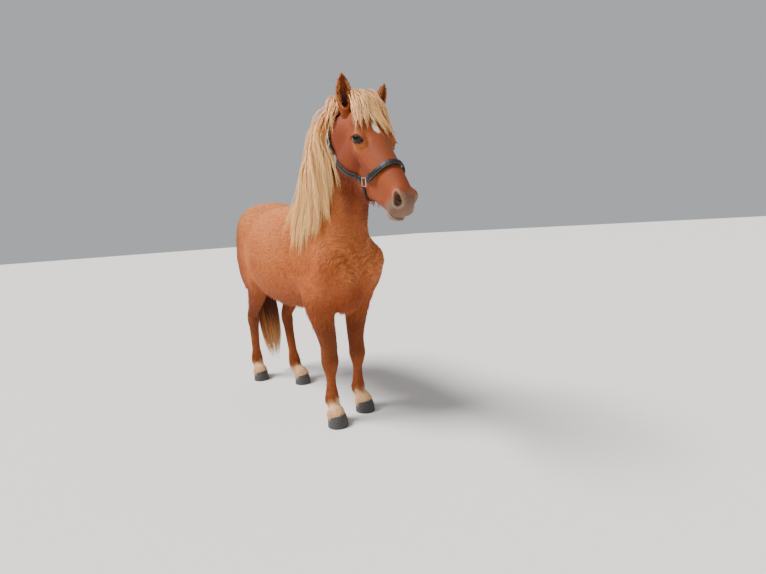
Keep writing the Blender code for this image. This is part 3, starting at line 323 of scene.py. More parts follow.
def neck_forms():
    """The neck walks up from between the shoulders to the poll, bending to the horse's right."""
    neck = Limb([
        (0.43, 0.000, 1.150, 0.145, 0.250, 0.245),
        (0.54, -0.008, 1.275, 0.124, 0.222, 0.218),
        (0.635, -0.030, 1.400, 0.104, 0.190, 0.176),
        (0.725, -0.060, 1.505, 0.088, 0.160, 0.140),
        (0.800, -0.085, 1.590, 0.078, 0.132, 0.112),
        (0.862, -0.102, 1.640, 0.070, 0.098, 0.088),
    ])
    return [(neck, 0.07)]


def foreleg_forms(spots):
    (hx, hy), (fx, fy), (kx, ky), (ex, ey) = (spots[k] for k in ("hoof", "fetlock", "knee", "elbow"))
    knee, fetlock = KNEE_HEIGHT, FETLOCK_HEIGHT
    leg = Limb([
        (ex + 0.01, ey, ELBOW_HEIGHT + 0.04, 0.090, 0.110, 0.105),
        (ex + 0.012, ey, ELBOW_HEIGHT - 0.06, 0.085, 0.098, 0.100),
        ((ex + kx) / 2 + 0.004, (ey + ky) / 2, 0.620, 0.066, 0.070, 0.080),
        (kx, ky, 0.500, 0.053, 0.050, 0.059),
        (kx, ky, knee + 0.045, 0.051, 0.048, 0.051),
        (kx, ky, knee, 0.053, 0.053, 0.050),
        (kx, ky, knee - 0.045, 0.043, 0.042, 0.045),
        ((2 * kx + fx) / 3, (2 * ky + fy) / 3, 0.29, 0.0295, 0.030, 0.041),
        ((kx + 3 * fx) / 4, (ky + 3 * fy) / 4, 0.220, 0.0295, 0.030, 0.041),
        (fx, fy, fetlock + 0.006, 0.038, 0.037, 0.049),
        (fx + 0.008, fy, fetlock - 0.026, 0.035, 0.034, 0.046),
        ((fx + hx) / 2, (fy + hy) / 2, 0.102, 0.037, 0.036, 0.042),
        (hx - 0.016, hy, 0.078, 0.048, 0.049, 0.050),
        (hx - 0.008, hy, 0.050, 0.052, 0.054, 0.052),
    ])
    return [
        (leg, 0.05),
        (Ball((kx - 0.038, ky, knee + 0.005), (0.014, 0.020, 0.026)), 0.02),
        (Ball((fx - 0.040, fy, fetlock - 0.014), (0.022, 0.022, 0.030)), 0.02),
    ]


def hindleg_forms(spots):
    (hx, hy), (fx, fy), (ox, oy), (sx, sy) = (spots[k] for k in ("hoof", "fetlock", "hock", "stifle"))
    hock, fetlock = HOCK_HEIGHT, FETLOCK_HEIGHT
    side = math.copysign(1, sy)

    def shin(t, z, half, front, back):
        return (sx + (ox - sx) * t, sy + (oy - sy) * t, z, half, front, back)

    leg = Limb([
        (sx - 0.085, side * 0.138, 0.990, 0.088, 0.140, 0.185),
        (sx - 0.075, side * 0.148, 0.870, 0.084, 0.120, 0.180),
        shin(0.22, 0.775, 0.068, 0.090, 0.125),
        shin(0.50, 0.680, 0.055, 0.066, 0.088),
        shin(0.80, 0.590, 0.042, 0.048, 0.058),
        (ox + 0.004, oy, hock + 0.030, 0.041, 0.047, 0.054),
        (ox, oy, hock - 0.020, 0.043, 0.049, 0.051),
        (ox + (fx - ox) * 0.14, oy + (fy - oy) * 0.14, hock - 0.075, 0.036, 0.041, 0.046),
        (ox + (fx - ox) * 0.40, oy + (fy - oy) * 0.40, 0.345, 0.0320, 0.033, 0.048),
        (ox + (fx - ox) * 0.75, oy + (fy - oy) * 0.75, 0.240, 0.0310, 0.031, 0.046),
        (fx, fy, fetlock + 0.006, 0.039, 0.038, 0.052),
        (fx + 0.010, fy, fetlock - 0.026, 0.036, 0.035, 0.047),
        ((fx + hx) / 2, (fy + hy) / 2, 0.102, 0.037, 0.036, 0.042),
        (hx - 0.016, hy, 0.078, 0.047, 0.048, 0.050),
        (hx - 0.008, hy, 0.050, 0.051, 0.053, 0.052),
    ])
    heel = Limb([
        (ox - 0.014, oy, hock - 0.030, 0.020, 0.020, 0.032),
        (ox - 0.044, oy, hock + 0.030, 0.019, 0.020, 0.024),
        (ox - 0.026, oy, hock + 0.110, 0.012, 0.020, 0.014),
    ])
    return [
        (leg, 0.06),
        (heel, 0.025),
        (Ball((sx + 0.015, sy, 0.850), (0.065, 0.064, 0.090)), 0.07),
        (Ball((fx - 0.040, fy, fetlock - 0.014), (0.022, 0.022, 0.030)), 0.02),
    ]


EYE_PLACE = (0.212, 0.0815, -0.040)
EYE_FACING = (0.46, 0.84, 0.26)


def head_forms():
    """The head in its own frame: forward down the face, left, and up off the forehead."""
    on = dict(frame=HEAD)
    skull = Limb([
        (0.020, 0, -0.066, 0.066, 0.054, 0.065),
        (0.095, 0, -0.064, 0.082, 0.076, 0.078),
        (0.190, 0, -0.066, 0.081, 0.076, 0.080),
        (0.295, 0, -0.072, 0.069, 0.074, 0.070),
        (0.395, 0, -0.076, 0.059, 0.072, 0.064),
        (0.500, 0, -0.080, 0.051, 0.064, 0.058),
        (0.556, 0, -0.086, 0.051, 0.056, 0.054),
    ], **on)
    jaw = Limb([
        (0.110, 0, -0.150, 0.062, 0.060, 0.110),
        (0.200, 0, -0.155, 0.062, 0.070, 0.126),
        (0.300, 0, -0.150, 0.050, 0.060, 0.108),
        (0.395, 0, -0.140, 0.042, 0.050, 0.074),
        (0.495, 0, -0.134, 0.038, 0.036, 0.046),
        (0.552, 0, -0.138, 0.036, 0.026, 0.036),
    ], **on)
    forms = [(skull, 0.02), (jaw, 0.03)]
    for side in SIDES:
        eye = (EYE_PLACE[0], side * EYE_PLACE[1], EYE_PLACE[2])
        forms += [
            (Ball((0.156, side * 0.050, -0.172), (0.100, 0.045, 0.100), pitch=-6, **on), 0.025),
            (Ball((0.120, side * 0.042, -0.024), (0.090, 0.042, 0.034), pitch=3, yaw=side * 4, **on), 0.03),
            (Limb([(0.150, side * 0.070, -0.022, 0.012, 0.014, 0.016),
                   (0.196, side * 0.084, -0.016, 0.014, 0.013, 0.016),
                   (0.243, side * 0.074, -0.030, 0.010, 0.012, 0.014)], **on), 0.02),
            (Ball((eye[0] - 0.002, eye[1], eye[2] - 0.001), (0.0315, 0.0262, 0.0275), **on), 0.014),
            (Limb([(0.230, side * 0.066, -0.088, 0.010, 0.010, 0.012),
                   (0.300, side * 0.056, -0.096, 0.010, 0.010, 0.012),
                   (0.375, side * 0.046, -0.098, 0.008, 0.008, 0.010)], **on), 0.04),
            (Ball((0.030, side * 0.066, -0.140), (0.080, 0.040, 0.090), pitch=-20, **on), 0.03),
            (Ball((0.553, side * 0.033, -0.057), (0.034, 0.026, 0.029), pitch=14, **on), 0.018),
            (Ball((0.560, side * 0.028, -0.108), (0.036, 0.028, 0.028), **on), 0.018),
        ]
    forms += [
        (Ball((0.560, 0, -0.087), (0.027, 0.040, 0.039), **on), 0.020),
        (Ball((0.568, 0, -0.115), (0.026, 0.037, 0.022), **on), 0.014),
        (Ball((0.566, 0, -0.150), (0.030, 0.033, 0.017), pitch=-8, **on), 0.012),
        (Ball((0.544, 0, -0.162), (0.026, 0.029, 0.020), **on), 0.014),
    ]
    return forms


EAR_ROOT = dict(right=(0.020, -0.072, -0.034), left=(0.020, 0.087, -0.030))
EAR_LEAN = dict(right=(0.10, -0.12, 1.0), left=(0.10, 0.30, 1.0))
EAR_FACE = dict(right=(0.84, -0.55, 0.0), left=(0.90, 0.35, 0.0))


def ear_frame(name):
    """The ear's own frame: forward up the ear, left across it and up out of its opening."""
    root = HEAD.out(EAR_ROOT[name])
    axis = Vector(EAR_LEAN[name]).normalized()
    opening = Vector(EAR_FACE[name])
    opening = (opening - axis * opening.dot(axis)).normalized()
    return Frame(root, axis, opening.cross(axis), opening)


def ear_forms(name):
    """A pointed leaf, rolled round a deep cup that opens forward."""
    frame = ear_frame(name)
    size = EAR_LENGTH
    leaf = Limb([
        (0.000, 0, -0.002, 0.025, 0.023, 0.025),
        (0.25 * size, 0, 0.000, 0.031, 0.022, 0.026),
        (0.50 * size, 0, 0.002, 0.036, 0.018, 0.023),
        (0.72 * size, 0, 0.003, 0.030, 0.014, 0.018),
        (0.90 * size, 0, 0.003, 0.016, 0.008, 0.010),
        (1.00 * size, 0, 0.004, 0.0045, 0.004, 0.005),
    ], frame)
    cup = Limb([
        (0.20 * size, 0, 0.013, 0.012, 0.012, 0.014),
        (0.34 * size, 0, 0.014, 0.022, 0.016, 0.022),
        (0.52 * size, 0, 0.014, 0.0290, 0.016, 0.024),
        (0.72 * size, 0, 0.013, 0.0245, 0.014, 0.018),
        (0.88 * size, 0, 0.012, 0.0110, 0.010, 0.011),
        (0.95 * size, 0, 0.012, 0.0040, 0.006, 0.006),
    ], frame)
    return [(leaf, 0.01), (cup, 0.003, "carve")]


def face_out(bm):
    """Turn every face outward."""
    bmesh.ops.recalc_face_normals(bm, faces=bm.faces)
    if bm.calc_volume(signed=True) < 0:
        bmesh.ops.reverse_faces(bm, faces=bm.faces)


def keep_largest(bm):
    """Delete every closed surface but the largest."""
    left, islands = set(bm.verts), []
    while left:
        island, edge = [], [left.pop()]
        while edge:
            vert = edge.pop()
            island.append(vert)
            others = left.intersection(link.other_vert(vert) for link in vert.link_edges)
            left -= others
            edge += others
        islands.append(island)
    islands.sort(key=len)
    bmesh.ops.delete(bm, geom=[vert for island in islands[:-1] for vert in island], context="VERTS")


def mirrored(points):
    return [(a, -b, c) for a, b, c in points]


LEG_FORMS = [form for name, spots in STANCE.items()
             for form in (foreleg_forms(spots) if "fore" in name else hindleg_forms(spots))]
BODY_FORMS = torso_forms() + LEG_FORMS + neck_forms()
NECK_FORMS = BODY_FORMS + head_forms()
EAR_FRAMES = {name: ear_frame(name) for name in SIDE_NAMES}


class Shrunk:
    """A form drawn in all round by a depth, so that what it carves keeps thicker walls."""

    def __init__(self, shape, depth):
        self.shape, self.depth = shape, depth
        self.low, self.high = shape.low, shape.high

    def distance(self, points):
        return self.shape.distance(points) + self.depth


LID_TURN = math.radians(34)


def eye_frame(side):
    """The eye's own frame: forward along the lids' slit, which turns up to the forehead, and up out of it."""
    facing = Vector(np.array([EYE_FACING[0], side * EYE_FACING[1], EYE_FACING[2]]) @ HEAD.axes).normalized()
    slit = Vector(np.array([1.0, 0.0, -0.10]) @ HEAD.axes)
    slit = (slit - facing * slit.dot(facing)).normalized()
    level = Frame((0, 0, 0), slit, facing.cross(slit), facing).axes
    slit = level[0] * math.cos(LID_TURN) - side * level[1] * math.sin(LID_TURN)
    centre = HEAD.out((EYE_PLACE[0], side * EYE_PLACE[1], EYE_PLACE[2]))
    return Frame(centre, slit, np.cross(level[2], slit), level[2])


def eye_opening(side):
    """The almond between the lids, as a carving in the eye's own frame."""
    rows = [(-0.0265, 0.0, 0.012, 0.0020), (-0.0150, 0.0, 0.020, 0.0095), (0.0, 0.0, 0.022, 0.0124),
            (0.0150, 0.0, 0.020, 0.0100), (0.0265, 0.0, 0.012, 0.0022)]
    return Limb([(*row, 0.024, 0.024) for row in rows], eye_frame(side))


def nostril(side):
    """The open nostril, as a carving in the head's frame."""
    return Limb([(0.581, side * 0.043, -0.070, 0.015, 0.017, 0.018),
                 (0.570, side * 0.054, -0.054, 0.013, 0.014, 0.014),
                 (0.550, side * 0.059, -0.038, 0.007, 0.007, 0.007)], HEAD)


EAR_WALL = 0.0016
OPENINGS = [eye_opening(side) for side in SIDES]
NOSTRIL_FORMS = [(nostril(side), 0.007, "carve") for side in SIDES]
NOSTRIL_FORMS += [(Ball((0.566, side * 0.036, -0.058), (0.012, 0.020, 0.016), frame=HEAD), 0.004, "carve")
                  for side in SIDES]
NOSTRILS = [form[0] for form in NOSTRIL_FORMS]
EAR_FORMS = []
for ear_name in SIDE_NAMES:
    leaf_form, cup_form = ear_forms(ear_name)
    EAR_FORMS += [leaf_form, (Shrunk(cup_form[0], EAR_WALL), *cup_form[1:])]


def smooth_step(values, start, end):
    share = np.clip((values - start) / (end - start), 0, 1)
    return share * share * (3 - 2 * share)


def on_head(points):
    """1 on the head, 0 on the neck and body."""
    a, b, c = HEAD.place(points).T
    return smooth_step(a, -0.10, 0.06) * smooth_step(c, -0.42, -0.33) * smooth_step(0.25 - abs(b), 0, 0.05)


def on_leg(points):
    return 1 - smooth_step(points[:, 2], 0.56, 0.72)


def by_ear(points):
    """For each ear: its name, points up it, across it and out of its opening, and which are near its axis."""
    for name, ear in EAR_FRAMES.items():
        up, across, out = ear.place(points).T
        yield name, up, across, out, np.hypot(across, out) < 0.06


def on_ear(points):
    """1 on the ears, 0 below their roots."""
    share = np.zeros(len(points))
    for _, up, _, _, near in by_ear(points):
        share = np.maximum(share, smooth_step(up, 0.03, 0.06) * near)
    return share


BODY_COAT = 0.0050
LEG_COAT = 0.0022
HEAD_COAT = 0.0010


def coat_depth(points):
    """How far the skin lies under the coat's outside."""
    depth = BODY_COAT + (LEG_COAT - BODY_COAT) * on_leg(points)
    depth = depth + (HEAD_COAT - depth) * on_head(points)
    return depth * (1 - on_ear(points))


def near_forms(forms, low, high):
    """The forms that can matter inside a box, in their order."""
    kept = []
    for shape, blend, *how in forms:
        margin = reach_of(blend, how)
        if np.all(high > shape.low - margin) and np.all(low < shape.high + margin):
            kept.append((shape, blend, *how))
    return kept


def field_at(points, forms, cell=0.09):
    """The joined field, worked out box by box so that far forms cost nothing."""
    values = np.full(len(points), FAR, np.float32)
    cells = np.floor(points / cell).astype(np.int64)
    keys = (cells[:, 0] * 4096 + cells[:, 1]) * 4096 + cells[:, 2]
    order = np.argsort(keys, kind="stable")
    edges = np.flatnonzero(np.diff(keys[order])) + 1
    for group in np.split(order, edges):
        spot = points[group]
        values[group] = joined(spot, near_forms(forms, spot.min(0), spot.max(0)))
    return values


def slope_at(points, forms, step=0.0015):
    """The outward direction of the field, and its value over that slope: the height over the surface."""
    shifts = np.concatenate([np.zeros((1, 3)), np.eye(3) * step, np.eye(3) * -step])
    values = field_at((points[None] + shifts[:, None]).reshape(-1, 3), forms).reshape(7, -1)
    slope = ((values[1:4] - values[4:7]) / (2 * step)).T
    steep = np.maximum(np.linalg.norm(slope, axis=1), 0.05)
    return values[0] / steep, slope / steep[:, None]


def settled(points, height, forms, rounds=6):
    """Points moved straight out or in until they lie at a height over the surface."""
    for _ in range(rounds):
        now, out = slope_at(points, forms)
        points = points + np.clip(height - now, -0.03, 0.03)[:, None] * out
    return points


def mouth_line(side):
    """The closed lips, from the middle of the muzzle to their corner, laid on the skin."""
    guides = [(0.600, 0.0, -0.139), (0.592, side * 0.018, -0.141), (0.577, side * 0.034, -0.143),
              (0.548, side * 0.037, -0.149), (0.510, side * 0.036, -0.154), (0.478, side * 0.037, -0.151)]
    return Line(settled(HEAD.out(guides), 0.0, head_forms()))


LID_FOLD = ((-0.027, 0.006), (-0.013, 0.0172), (0.004, 0.0190), (0.020, 0.0130), (0.030, 0.002))
MOUTH = [mouth_line(side) for side in SIDES]
LID_FOLDS = [Line([(x, -side * y, 0.026) for x, y in LID_FOLD], eye_frame(side)) for side in SIDES]
HEAD_FORMS = NECK_FORMS + NOSTRIL_FORMS + [(shape, 0.0035, 0.0050) for shape in MOUTH]
ALL_FORMS = HEAD_FORMS + EAR_FORMS + [(shape, 0.0035, 0.0022) for shape in LID_FOLDS]
ALL_FORMS += [(shape, 0.003, "carve") for shape in OPENINGS]


def stretched(values, skip):
    """A grid of values made skip times finer, in straight lines between them."""
    for axis in range(3):
        rows = np.moveaxis(values, axis, 0)
        share = (np.arange(skip, dtype=np.float32) / skip).reshape(-1, 1, 1)
        fine = rows[:-1, None] * (1 - share) + rows[1:, None] * share
        fine = np.concatenate([fine.reshape(-1, *rows.shape[1:]), rows[-1:]])
        values = np.moveaxis(fine, 0, axis)
    return values


def skin_shell(forms, low, high, step, frame=WORLD, skip=4, band=0.016):
    """Verts and quads of the skin inside a box: fine values near the skin, coarse ones far from it."""
    low = np.array(low, float)
    counts = np.ceil((np.array(high) - low) / (step * skip)).astype(int) + 1
    grid = np.stack(np.meshgrid(*[np.arange(n) * step * skip for n in counts], indexing="ij"), -1)
    coarse = field_at(frame.out(grid.reshape(-1, 3) + low), forms).reshape(counts)
    values = stretched(coarse, skip)
    near = np.argwhere(np.abs(values) < band)
    points = frame.out(near * step + low)
    values[tuple(near.T)] = field_at(points, forms) + coat_depth(points)
    for axis in range(3):
        edge = np.moveaxis(values, axis, 0)
        edge[0] = np.maximum(edge[0], step / 4)
        edge[-1] = np.maximum(edge[-1], step / 4)
    volume = openvdb.FloatGrid(FAR)
    volume.copyFromArray(np.ascontiguousarray(values, dtype=np.float32))
    volume.transform = openvdb.createLinearTransform(voxelSize=step)
    verts, quads = volume.convertToQuads(isovalue=0.0)
    return frame.out(verts.astype(float) + low), quads


def sliced(bm, point, normal):
    """Cut a bmesh by a plane and drop what lies past it along the normal."""
    geom = bm.verts[:] + bm.edges[:] + bm.faces[:]
    bmesh.ops.bisect_plane(bm, geom=geom, plane_co=point, plane_no=normal, clear_outer=True)


def cut_shell(shell, point, normal):
    """A bmesh of a shell, cut open by a plane."""
    mesh = bpy.data.meshes.new("shell")
    mesh.from_pydata(shell[0].tolist(), [], shell[1].tolist())
    bm = bmesh.new()
    bm.from_mesh(mesh)
    bpy.data.meshes.remove(mesh)
    keep_largest(bm)
    face_out(bm)
    sliced(bm, point, normal)
    return bm


def written(bm, mesh):
    """Fill a mesh from a bmesh and free the bmesh."""
    bm.to_mesh(mesh)
    bm.free()
    return mesh


SKIN_STEP = 0.0076
HEAD_SKIN_STEP = 0.0025
HEAD_BAND = 0.011
BRIDGE_GAP = 0.003
SOLE_CUT = 0.032


def open_edges(bm):
    return [edge for edge in bm.edges if edge.is_boundary]


def skin_mesh():
    """One closed skin: the body from a coarse grid and the head from a fine one, bridged behind the jaw."""
    point, normal = np.array(HEAD_CUT[0]), np.array(HEAD_CUT[1]) / np.linalg.norm(HEAD_CUT[1])
    way = Vector(normal).normalized()
    body = skin_shell(NECK_FORMS, (-0.83, -0.33, 0.02), (0.90, 0.33, 1.80), SKIN_STEP)
    bm = cut_shell(body, Vector(point - BRIDGE_GAP * normal), way)
    sliced(bm, (0, 0, SOLE_CUT), (0, 0, -1))
    low_edges = [edge for edge in open_edges(bm) if edge.verts[0].co.z < 2 * SOLE_CUT]
    bmesh.ops.holes_fill(bm, edges=low_edges, sides=0)
    low, high = (-0.24, -0.17, -0.44), (0.64, 0.17, 0.15)
    head = skin_shell(ALL_FORMS, low, high, HEAD_SKIN_STEP, HEAD, band=HEAD_BAND)
    head_bm = cut_shell(head, Vector(point + BRIDGE_GAP * normal), -way)
    mesh = written(head_bm, bpy.data.meshes.new("skin"))
    bm.from_mesh(mesh)
    bmesh.ops.bridge_loops(bm, edges=open_edges(bm))
    bmesh.ops.triangulate(bm, faces=bm.faces)
    return written(bm, mesh)


def rows_of(elements, key, width, kind=np.float32):
    """One property of a mesh's elements, as rows of a width."""
    values = np.empty(len(elements) * width, kind)
    elements.foreach_get(key, values)
    return values.reshape(-1, width)


def mesh_arrays(mesh):
    """Corners and normals of a mesh's points, and its triangles."""
    corners = rows_of(mesh.loops, "vertex_index", 1, np.int32).reshape(-1, 3)
    points, normals = (rows_of(mesh.vertices, key, 3).astype(float) for key in ("co", "normal"))
    return points, normals, corners


def triangle_mesh(name, points, triangles):
    mesh = bpy.data.meshes.new(name)
    mesh.vertices.add(len(points))
    mesh.vertices.foreach_set("co", np.ascontiguousarray(points, np.float32).ravel())
    mesh.loops.add(3 * len(triangles))
    mesh.loops.foreach_set("vertex_index", np.ascontiguousarray(triangles, np.int32).ravel())
    mesh.polygons.add(len(triangles))
    mesh.polygons.foreach_set("loop_start", np.arange(0, 3 * len(triangles), 3, dtype=np.int32))
    mesh.update(calc_edges=True)
    return mesh


def paint(mesh, colours):
    """Give each point of a mesh its colour as worked out for it, on the skin and coat with painted light and
    shade as well.
    """
    layer = mesh.color_attributes.new("Coat", "FLOAT_COLOR", "POINT")
    rows = np.concatenate([colours, np.ones((len(colours), 1))], axis=1)
    layer.data.foreach_set("color", rows.astype(np.float32).ravel())


def add_object(name, data):
    made = bpy.data.objects.new(name, data)
    bpy.context.scene.collection.objects.link(made)
    return made


def add_piece(name, mesh, material, smooth=True):
    """A finished piece, slid into the frame and riding on its one body."""
    mesh.transform(Matrix.Translation((-BOX_MIDDLE, 0, 0)))
    piece = add_object(name, mesh)
    mesh.materials.append(material)
    mesh.polygons.foreach_set("use_smooth", np.full(len(mesh.polygons), smooth))
    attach(piece, "root")
    return piece


def wander(points, scale, salt):
    """A smooth pattern between about -1 and 1 that changes over a scale in metres."""
    draw = np.random.default_rng(salt)
    total = np.zeros(len(points))
    for _ in range(7):
        way = draw.normal(size=3)
        way *= 2 * np.pi / scale * draw.uniform(0.6, 1.5) / np.linalg.norm(way)
        total += np.sin(points @ way + draw.uniform(0, 2 * np.pi))
    return total / 4


def tone(red, green, blue):
    """A screen colour in 0 to 255 steps as linear light."""
    steps = np.array([red, green, blue]) / 255
    return np.where(steps < 0.04045, steps / 12.92, ((steps + 0.055) / 1.055) ** 2.4)


CHESTNUT = tone(176, 82, 33)
GOLDEN = tone(226, 140, 74)
RUSSET = tone(108, 38, 10)
CREAM = tone(246, 196, 146)
FLAXEN = tone(255, 212, 148)
AMBER = tone(232, 142, 72)
GREY_SKIN = tone(112, 97, 84)
DARK_SKIN = tone(30, 18, 14)
PINKISH = tone(178, 148, 122)
WHITE_HAIR = tone(250, 240, 226)
EAR_DARK = tone(44, 14, 6)
EAR_RED = tone(116, 50, 22)
TAIL_DARK = tone(46, 12, 3)
TAIL_RED = tone(120, 52, 18)
LEG_BROWN = tone(88, 38, 13)
THREAD = tone(150, 142, 134)
IRIS = tone(34, 14, 6)
PUPIL_BLACK = tone(3, 2, 3)
STAR = (0.184, -0.006)
WHORLS = ((0.655, -0.080, 0.985), (0.650, 0.085, 0.975))
# Painted light and shade by the eyes, each (colour, share, (ahead of the eye, out to the side, height),
# radii, edge): a golden ring round the eye, partly the coat's own; painted shade in the hollow above and
# behind it; painted shade under the facial crest.
FACE_LIGHT_AND_SHADE = (
    (GOLDEN, 0.30, (0.0, EYE_PLACE[1], EYE_PLACE[2]), (0.056, 0.05, 0.046), 0.4),
    (RUSSET, 0.55, (-0.062, 0.070, -0.012), (0.050, 0.040, 0.026), 0.5),
    (RUSSET, 0.45, (0.095, 0.062, -0.125), (0.100, 0.050, 0.030), 0.6),
)


def blend(colours, other, share):
    share = np.clip(share, 0, 1)[..., None]
    return colours * (1 - share) + other * share


def layered(colours, *layers):
    """Colours with one layer after another of (other colour, share) over them."""
    for layer in layers:
        colours = blend(colours, *layer)
    return colours


def ball_share(points, centre, radii, edge=0.35):
    """1 inside an oval round a centre, falling to 0 past its edge."""
    reach = np.linalg.norm((points - np.array(centre)) / np.array(radii), axis=1)
    return 1 - smooth_step(reach, 1 - edge, 1 + edge)


def shape_gap(points, shapes, reach=0.02):
    """The distance to the nearest of some small shapes, worked out only close by."""
    gap = np.full(len(points), FAR)
    for shape in shapes:
        near = np.all((points > shape.low - reach) & (points < shape.high + reach), axis=1)
        if near.any():
            gap[near] = np.minimum(gap[near], shape.distance(points[near]))
    return gap


def face_colour(points, coat):
    """The face: chestnut with a small star, a grey muzzle, dark rims and a pale edge round the nostrils;
    painted shade over the nose bridge, on the lower sides of the face, under the jaw, in the nostrils, along
    the lips and in the hollows by the eyes, and a lighter ring round the eyes that is partly painted light.
    """
    local = HEAD.place(points)
    a, b, c = local.T
    muzzle = smooth_step(a - 0.4 * (c + 0.09) + 0.012 * wander(points, 0.05, 7), 0.510, 0.585)
    inside = shape_gap(points, NOSTRILS)
    lips = 1 - smooth_step(shape_gap(points, MOUTH), 0.0020, 0.0050)
    lids = 1 - smooth_step(shape_gap(points, OPENINGS), 0.003, 0.009)
    ragged = np.stack([a, b], 1) + 0.003 * wander(points, 0.02, 8)[:, None]
    star = ball_share(ragged, STAR, (0.032, 0.014), 0.35)
    # Lighter round each eye, partly the coat's own lighter ring and partly painted light; painted shade in
    # the hollow above and behind the eye and under the facial crest.
    spots = [(other, share * ball_share(local, (EYE_PLACE[0] + ahead, side * wide, high), radii, edge))
             for side in SIDES for other, share, (ahead, wide, high), radii, edge in FACE_LIGHT_AND_SHADE]
    return layered(
        coat,
        (CHESTNUT, np.full(len(points), 0.45)),
        # Painted shade over the front of the face, from the forehead down the nose bridge.
        (LEG_BROWN, 0.34 * smooth_step(c, -0.06, -0.01) * smooth_step(a, 0.14, 0.34)),
        # Painted shade on the lower sides of the face.
        (RUSSET, 0.55 * smooth_step(abs(b), 0.030, 0.070) * smooth_step(-c, 0.05, 0.13)),
        # Painted shade under the jaw.
        (RUSSET, 0.55 * smooth_step(-c, 0.15, 0.24)),
        (GREY_SKIN, 0.80 * muzzle),
        (PINKISH, 0.40 * (1 - smooth_step(abs(inside - 0.006), 0.001, 0.010))),
        (PINKISH, 0.45 * muzzle * smooth_step(-c, 0.135, 0.155)),
        # Inside the nostrils: the dark skin, taken near black as painted shade in the hollow.
        (DARK_SKIN * 0.10, 1 - smooth_step(inside, -0.0010, 0.0035)),
        # Along the lips: their dark skin, and painted shade in the crease between them.
        (DARK_SKIN, 0.95 * lips),
        *spots,
        (DARK_SKIN, 0.95 * lids),
        (WHITE_HAIR, star * (c > -0.05) * 0.97),
    )


def ear_colour(name, points, coat, up, across, out):
    """An ear: reddish in its cup and dark deep inside it, partly dark hair and partly painted shade in the
    hollow, and golden on the rim of it.
    """
    inside = ear_forms(name)[1][0].distance(points)
    cup = 1 - smooth_step(inside, 0.0005, 0.0030)
    deep = 1 - smooth_step(up / EAR_LENGTH, 0.25, 0.75)
    rim = smooth_step(inside, 0.0005, 0.0025) * (1 - smooth_step(inside, 0.005, 0.009))
    return layered(
        coat,
        (RUSSET, 0.5 * smooth_step(up, 0.03, 0.08)),
        (EAR_RED, 0.95 * cup),
        # Deep in the cup: dark hair, made darker as painted shade in the ear's hollow.
        (EAR_DARK, 0.95 * cup * deep * (1 - smooth_step(abs(across), 0.006, 0.020))),
        (GOLDEN, 0.55 * rim * smooth_step(out, 0.0, 0.006)),
    )


def coat_colour(points):
    """The coat's own colours: a light chestnut with flaxen feet, a small star, a grey muzzle and dark eye
    rims; over them painted light on the top of the body, and painted shade under the body, on the chest, the
    neck, the throat and parts of the face.
    """
    x, y, z = points.T
    head, leg = on_head(points), on_leg(points)
    mottle = wander(points, 0.30, 1) * 0.3 + wander(points, 0.09, 2) * 0.2 + wander(points, 0.025, 3) * 0.3
    # Masks for painted light and shade: high lightens the top of the body, front shades the chest and the
    # neck, and the throat mask shades under the throat.
    high = smooth_step(z, 0.85, 1.30)
    front = smooth_step(x, 0.52, 0.66)
    throat_shade = smooth_step(x, 0.66, 0.76) * smooth_step(z, 1.10, 1.25)
    sock = 1 - smooth_step(z + 0.016 * wander(points, 0.05, 5), 0.115, 0.175)
    streaks = 0.25 + 0.45 * wander(points, 0.035, 9)
    colours = layered(
        np.tile(CHESTNUT, (len(points), 1)),
        # Golden, partly random mottle and partly painted light that grows towards the top of the body, where
        # the light from above falls.
        (GOLDEN, 0.22 + 0.30 * mottle + 0.38 * high),
        (RUSSET, 0.28 * smooth_step(0.10 - mottle, 0.3, 1.0)),
        (RUSSET, 0.55 * (1 - smooth_step(x, -0.52, -0.36)) * (1 - leg)),
        # Painted shade: darker low on the barrel and under the belly, away from the light above.
        (RUSSET, 0.50 * smooth_step(0.90 - z, 0.02, 0.20) * (1 - leg)),
        # Painted shade on the chest and the neck, which face away from the light, with some random mottle;
        # darkest down the middle of the chest.
        (RUSSET, (0.30 + 0.25 * mottle) * front),
        (RUSSET, 0.30 * front * smooth_step(0.12 - abs(y + 0.02), -0.04, 0.10)),
        # Painted shade under the throat, stronger towards the sides.
        (RUSSET, 0.45 * throat_shade * smooth_step(abs(y + 0.04), 0.0, 0.05) + 0.45 * throat_shade),
        *[(GOLDEN, ball_share(points, whorl, (0.13, 0.09, 0.13), 0.5) * streaks) for whorl in WHORLS],
        (LEG_BROWN, 0.52 * leg + 0.20 * leg * smooth_step(z, 0.33, 0.42)),
        (CREAM, leg * sock * 0.95),
    )
    on = head > 0
    colours[on] = blend(colours[on], face_colour(points[on], colours[on]), head[on])
    for name, up, across, out, near in by_ear(points):
        here = (up > 0.01) & (up < EAR_LENGTH * 1.1) & near
        if here.any():
            colours[here] = ear_colour(name, points[here], colours[here], up[here], across[here], out[here])
    return np.clip(colours, 0, 1)


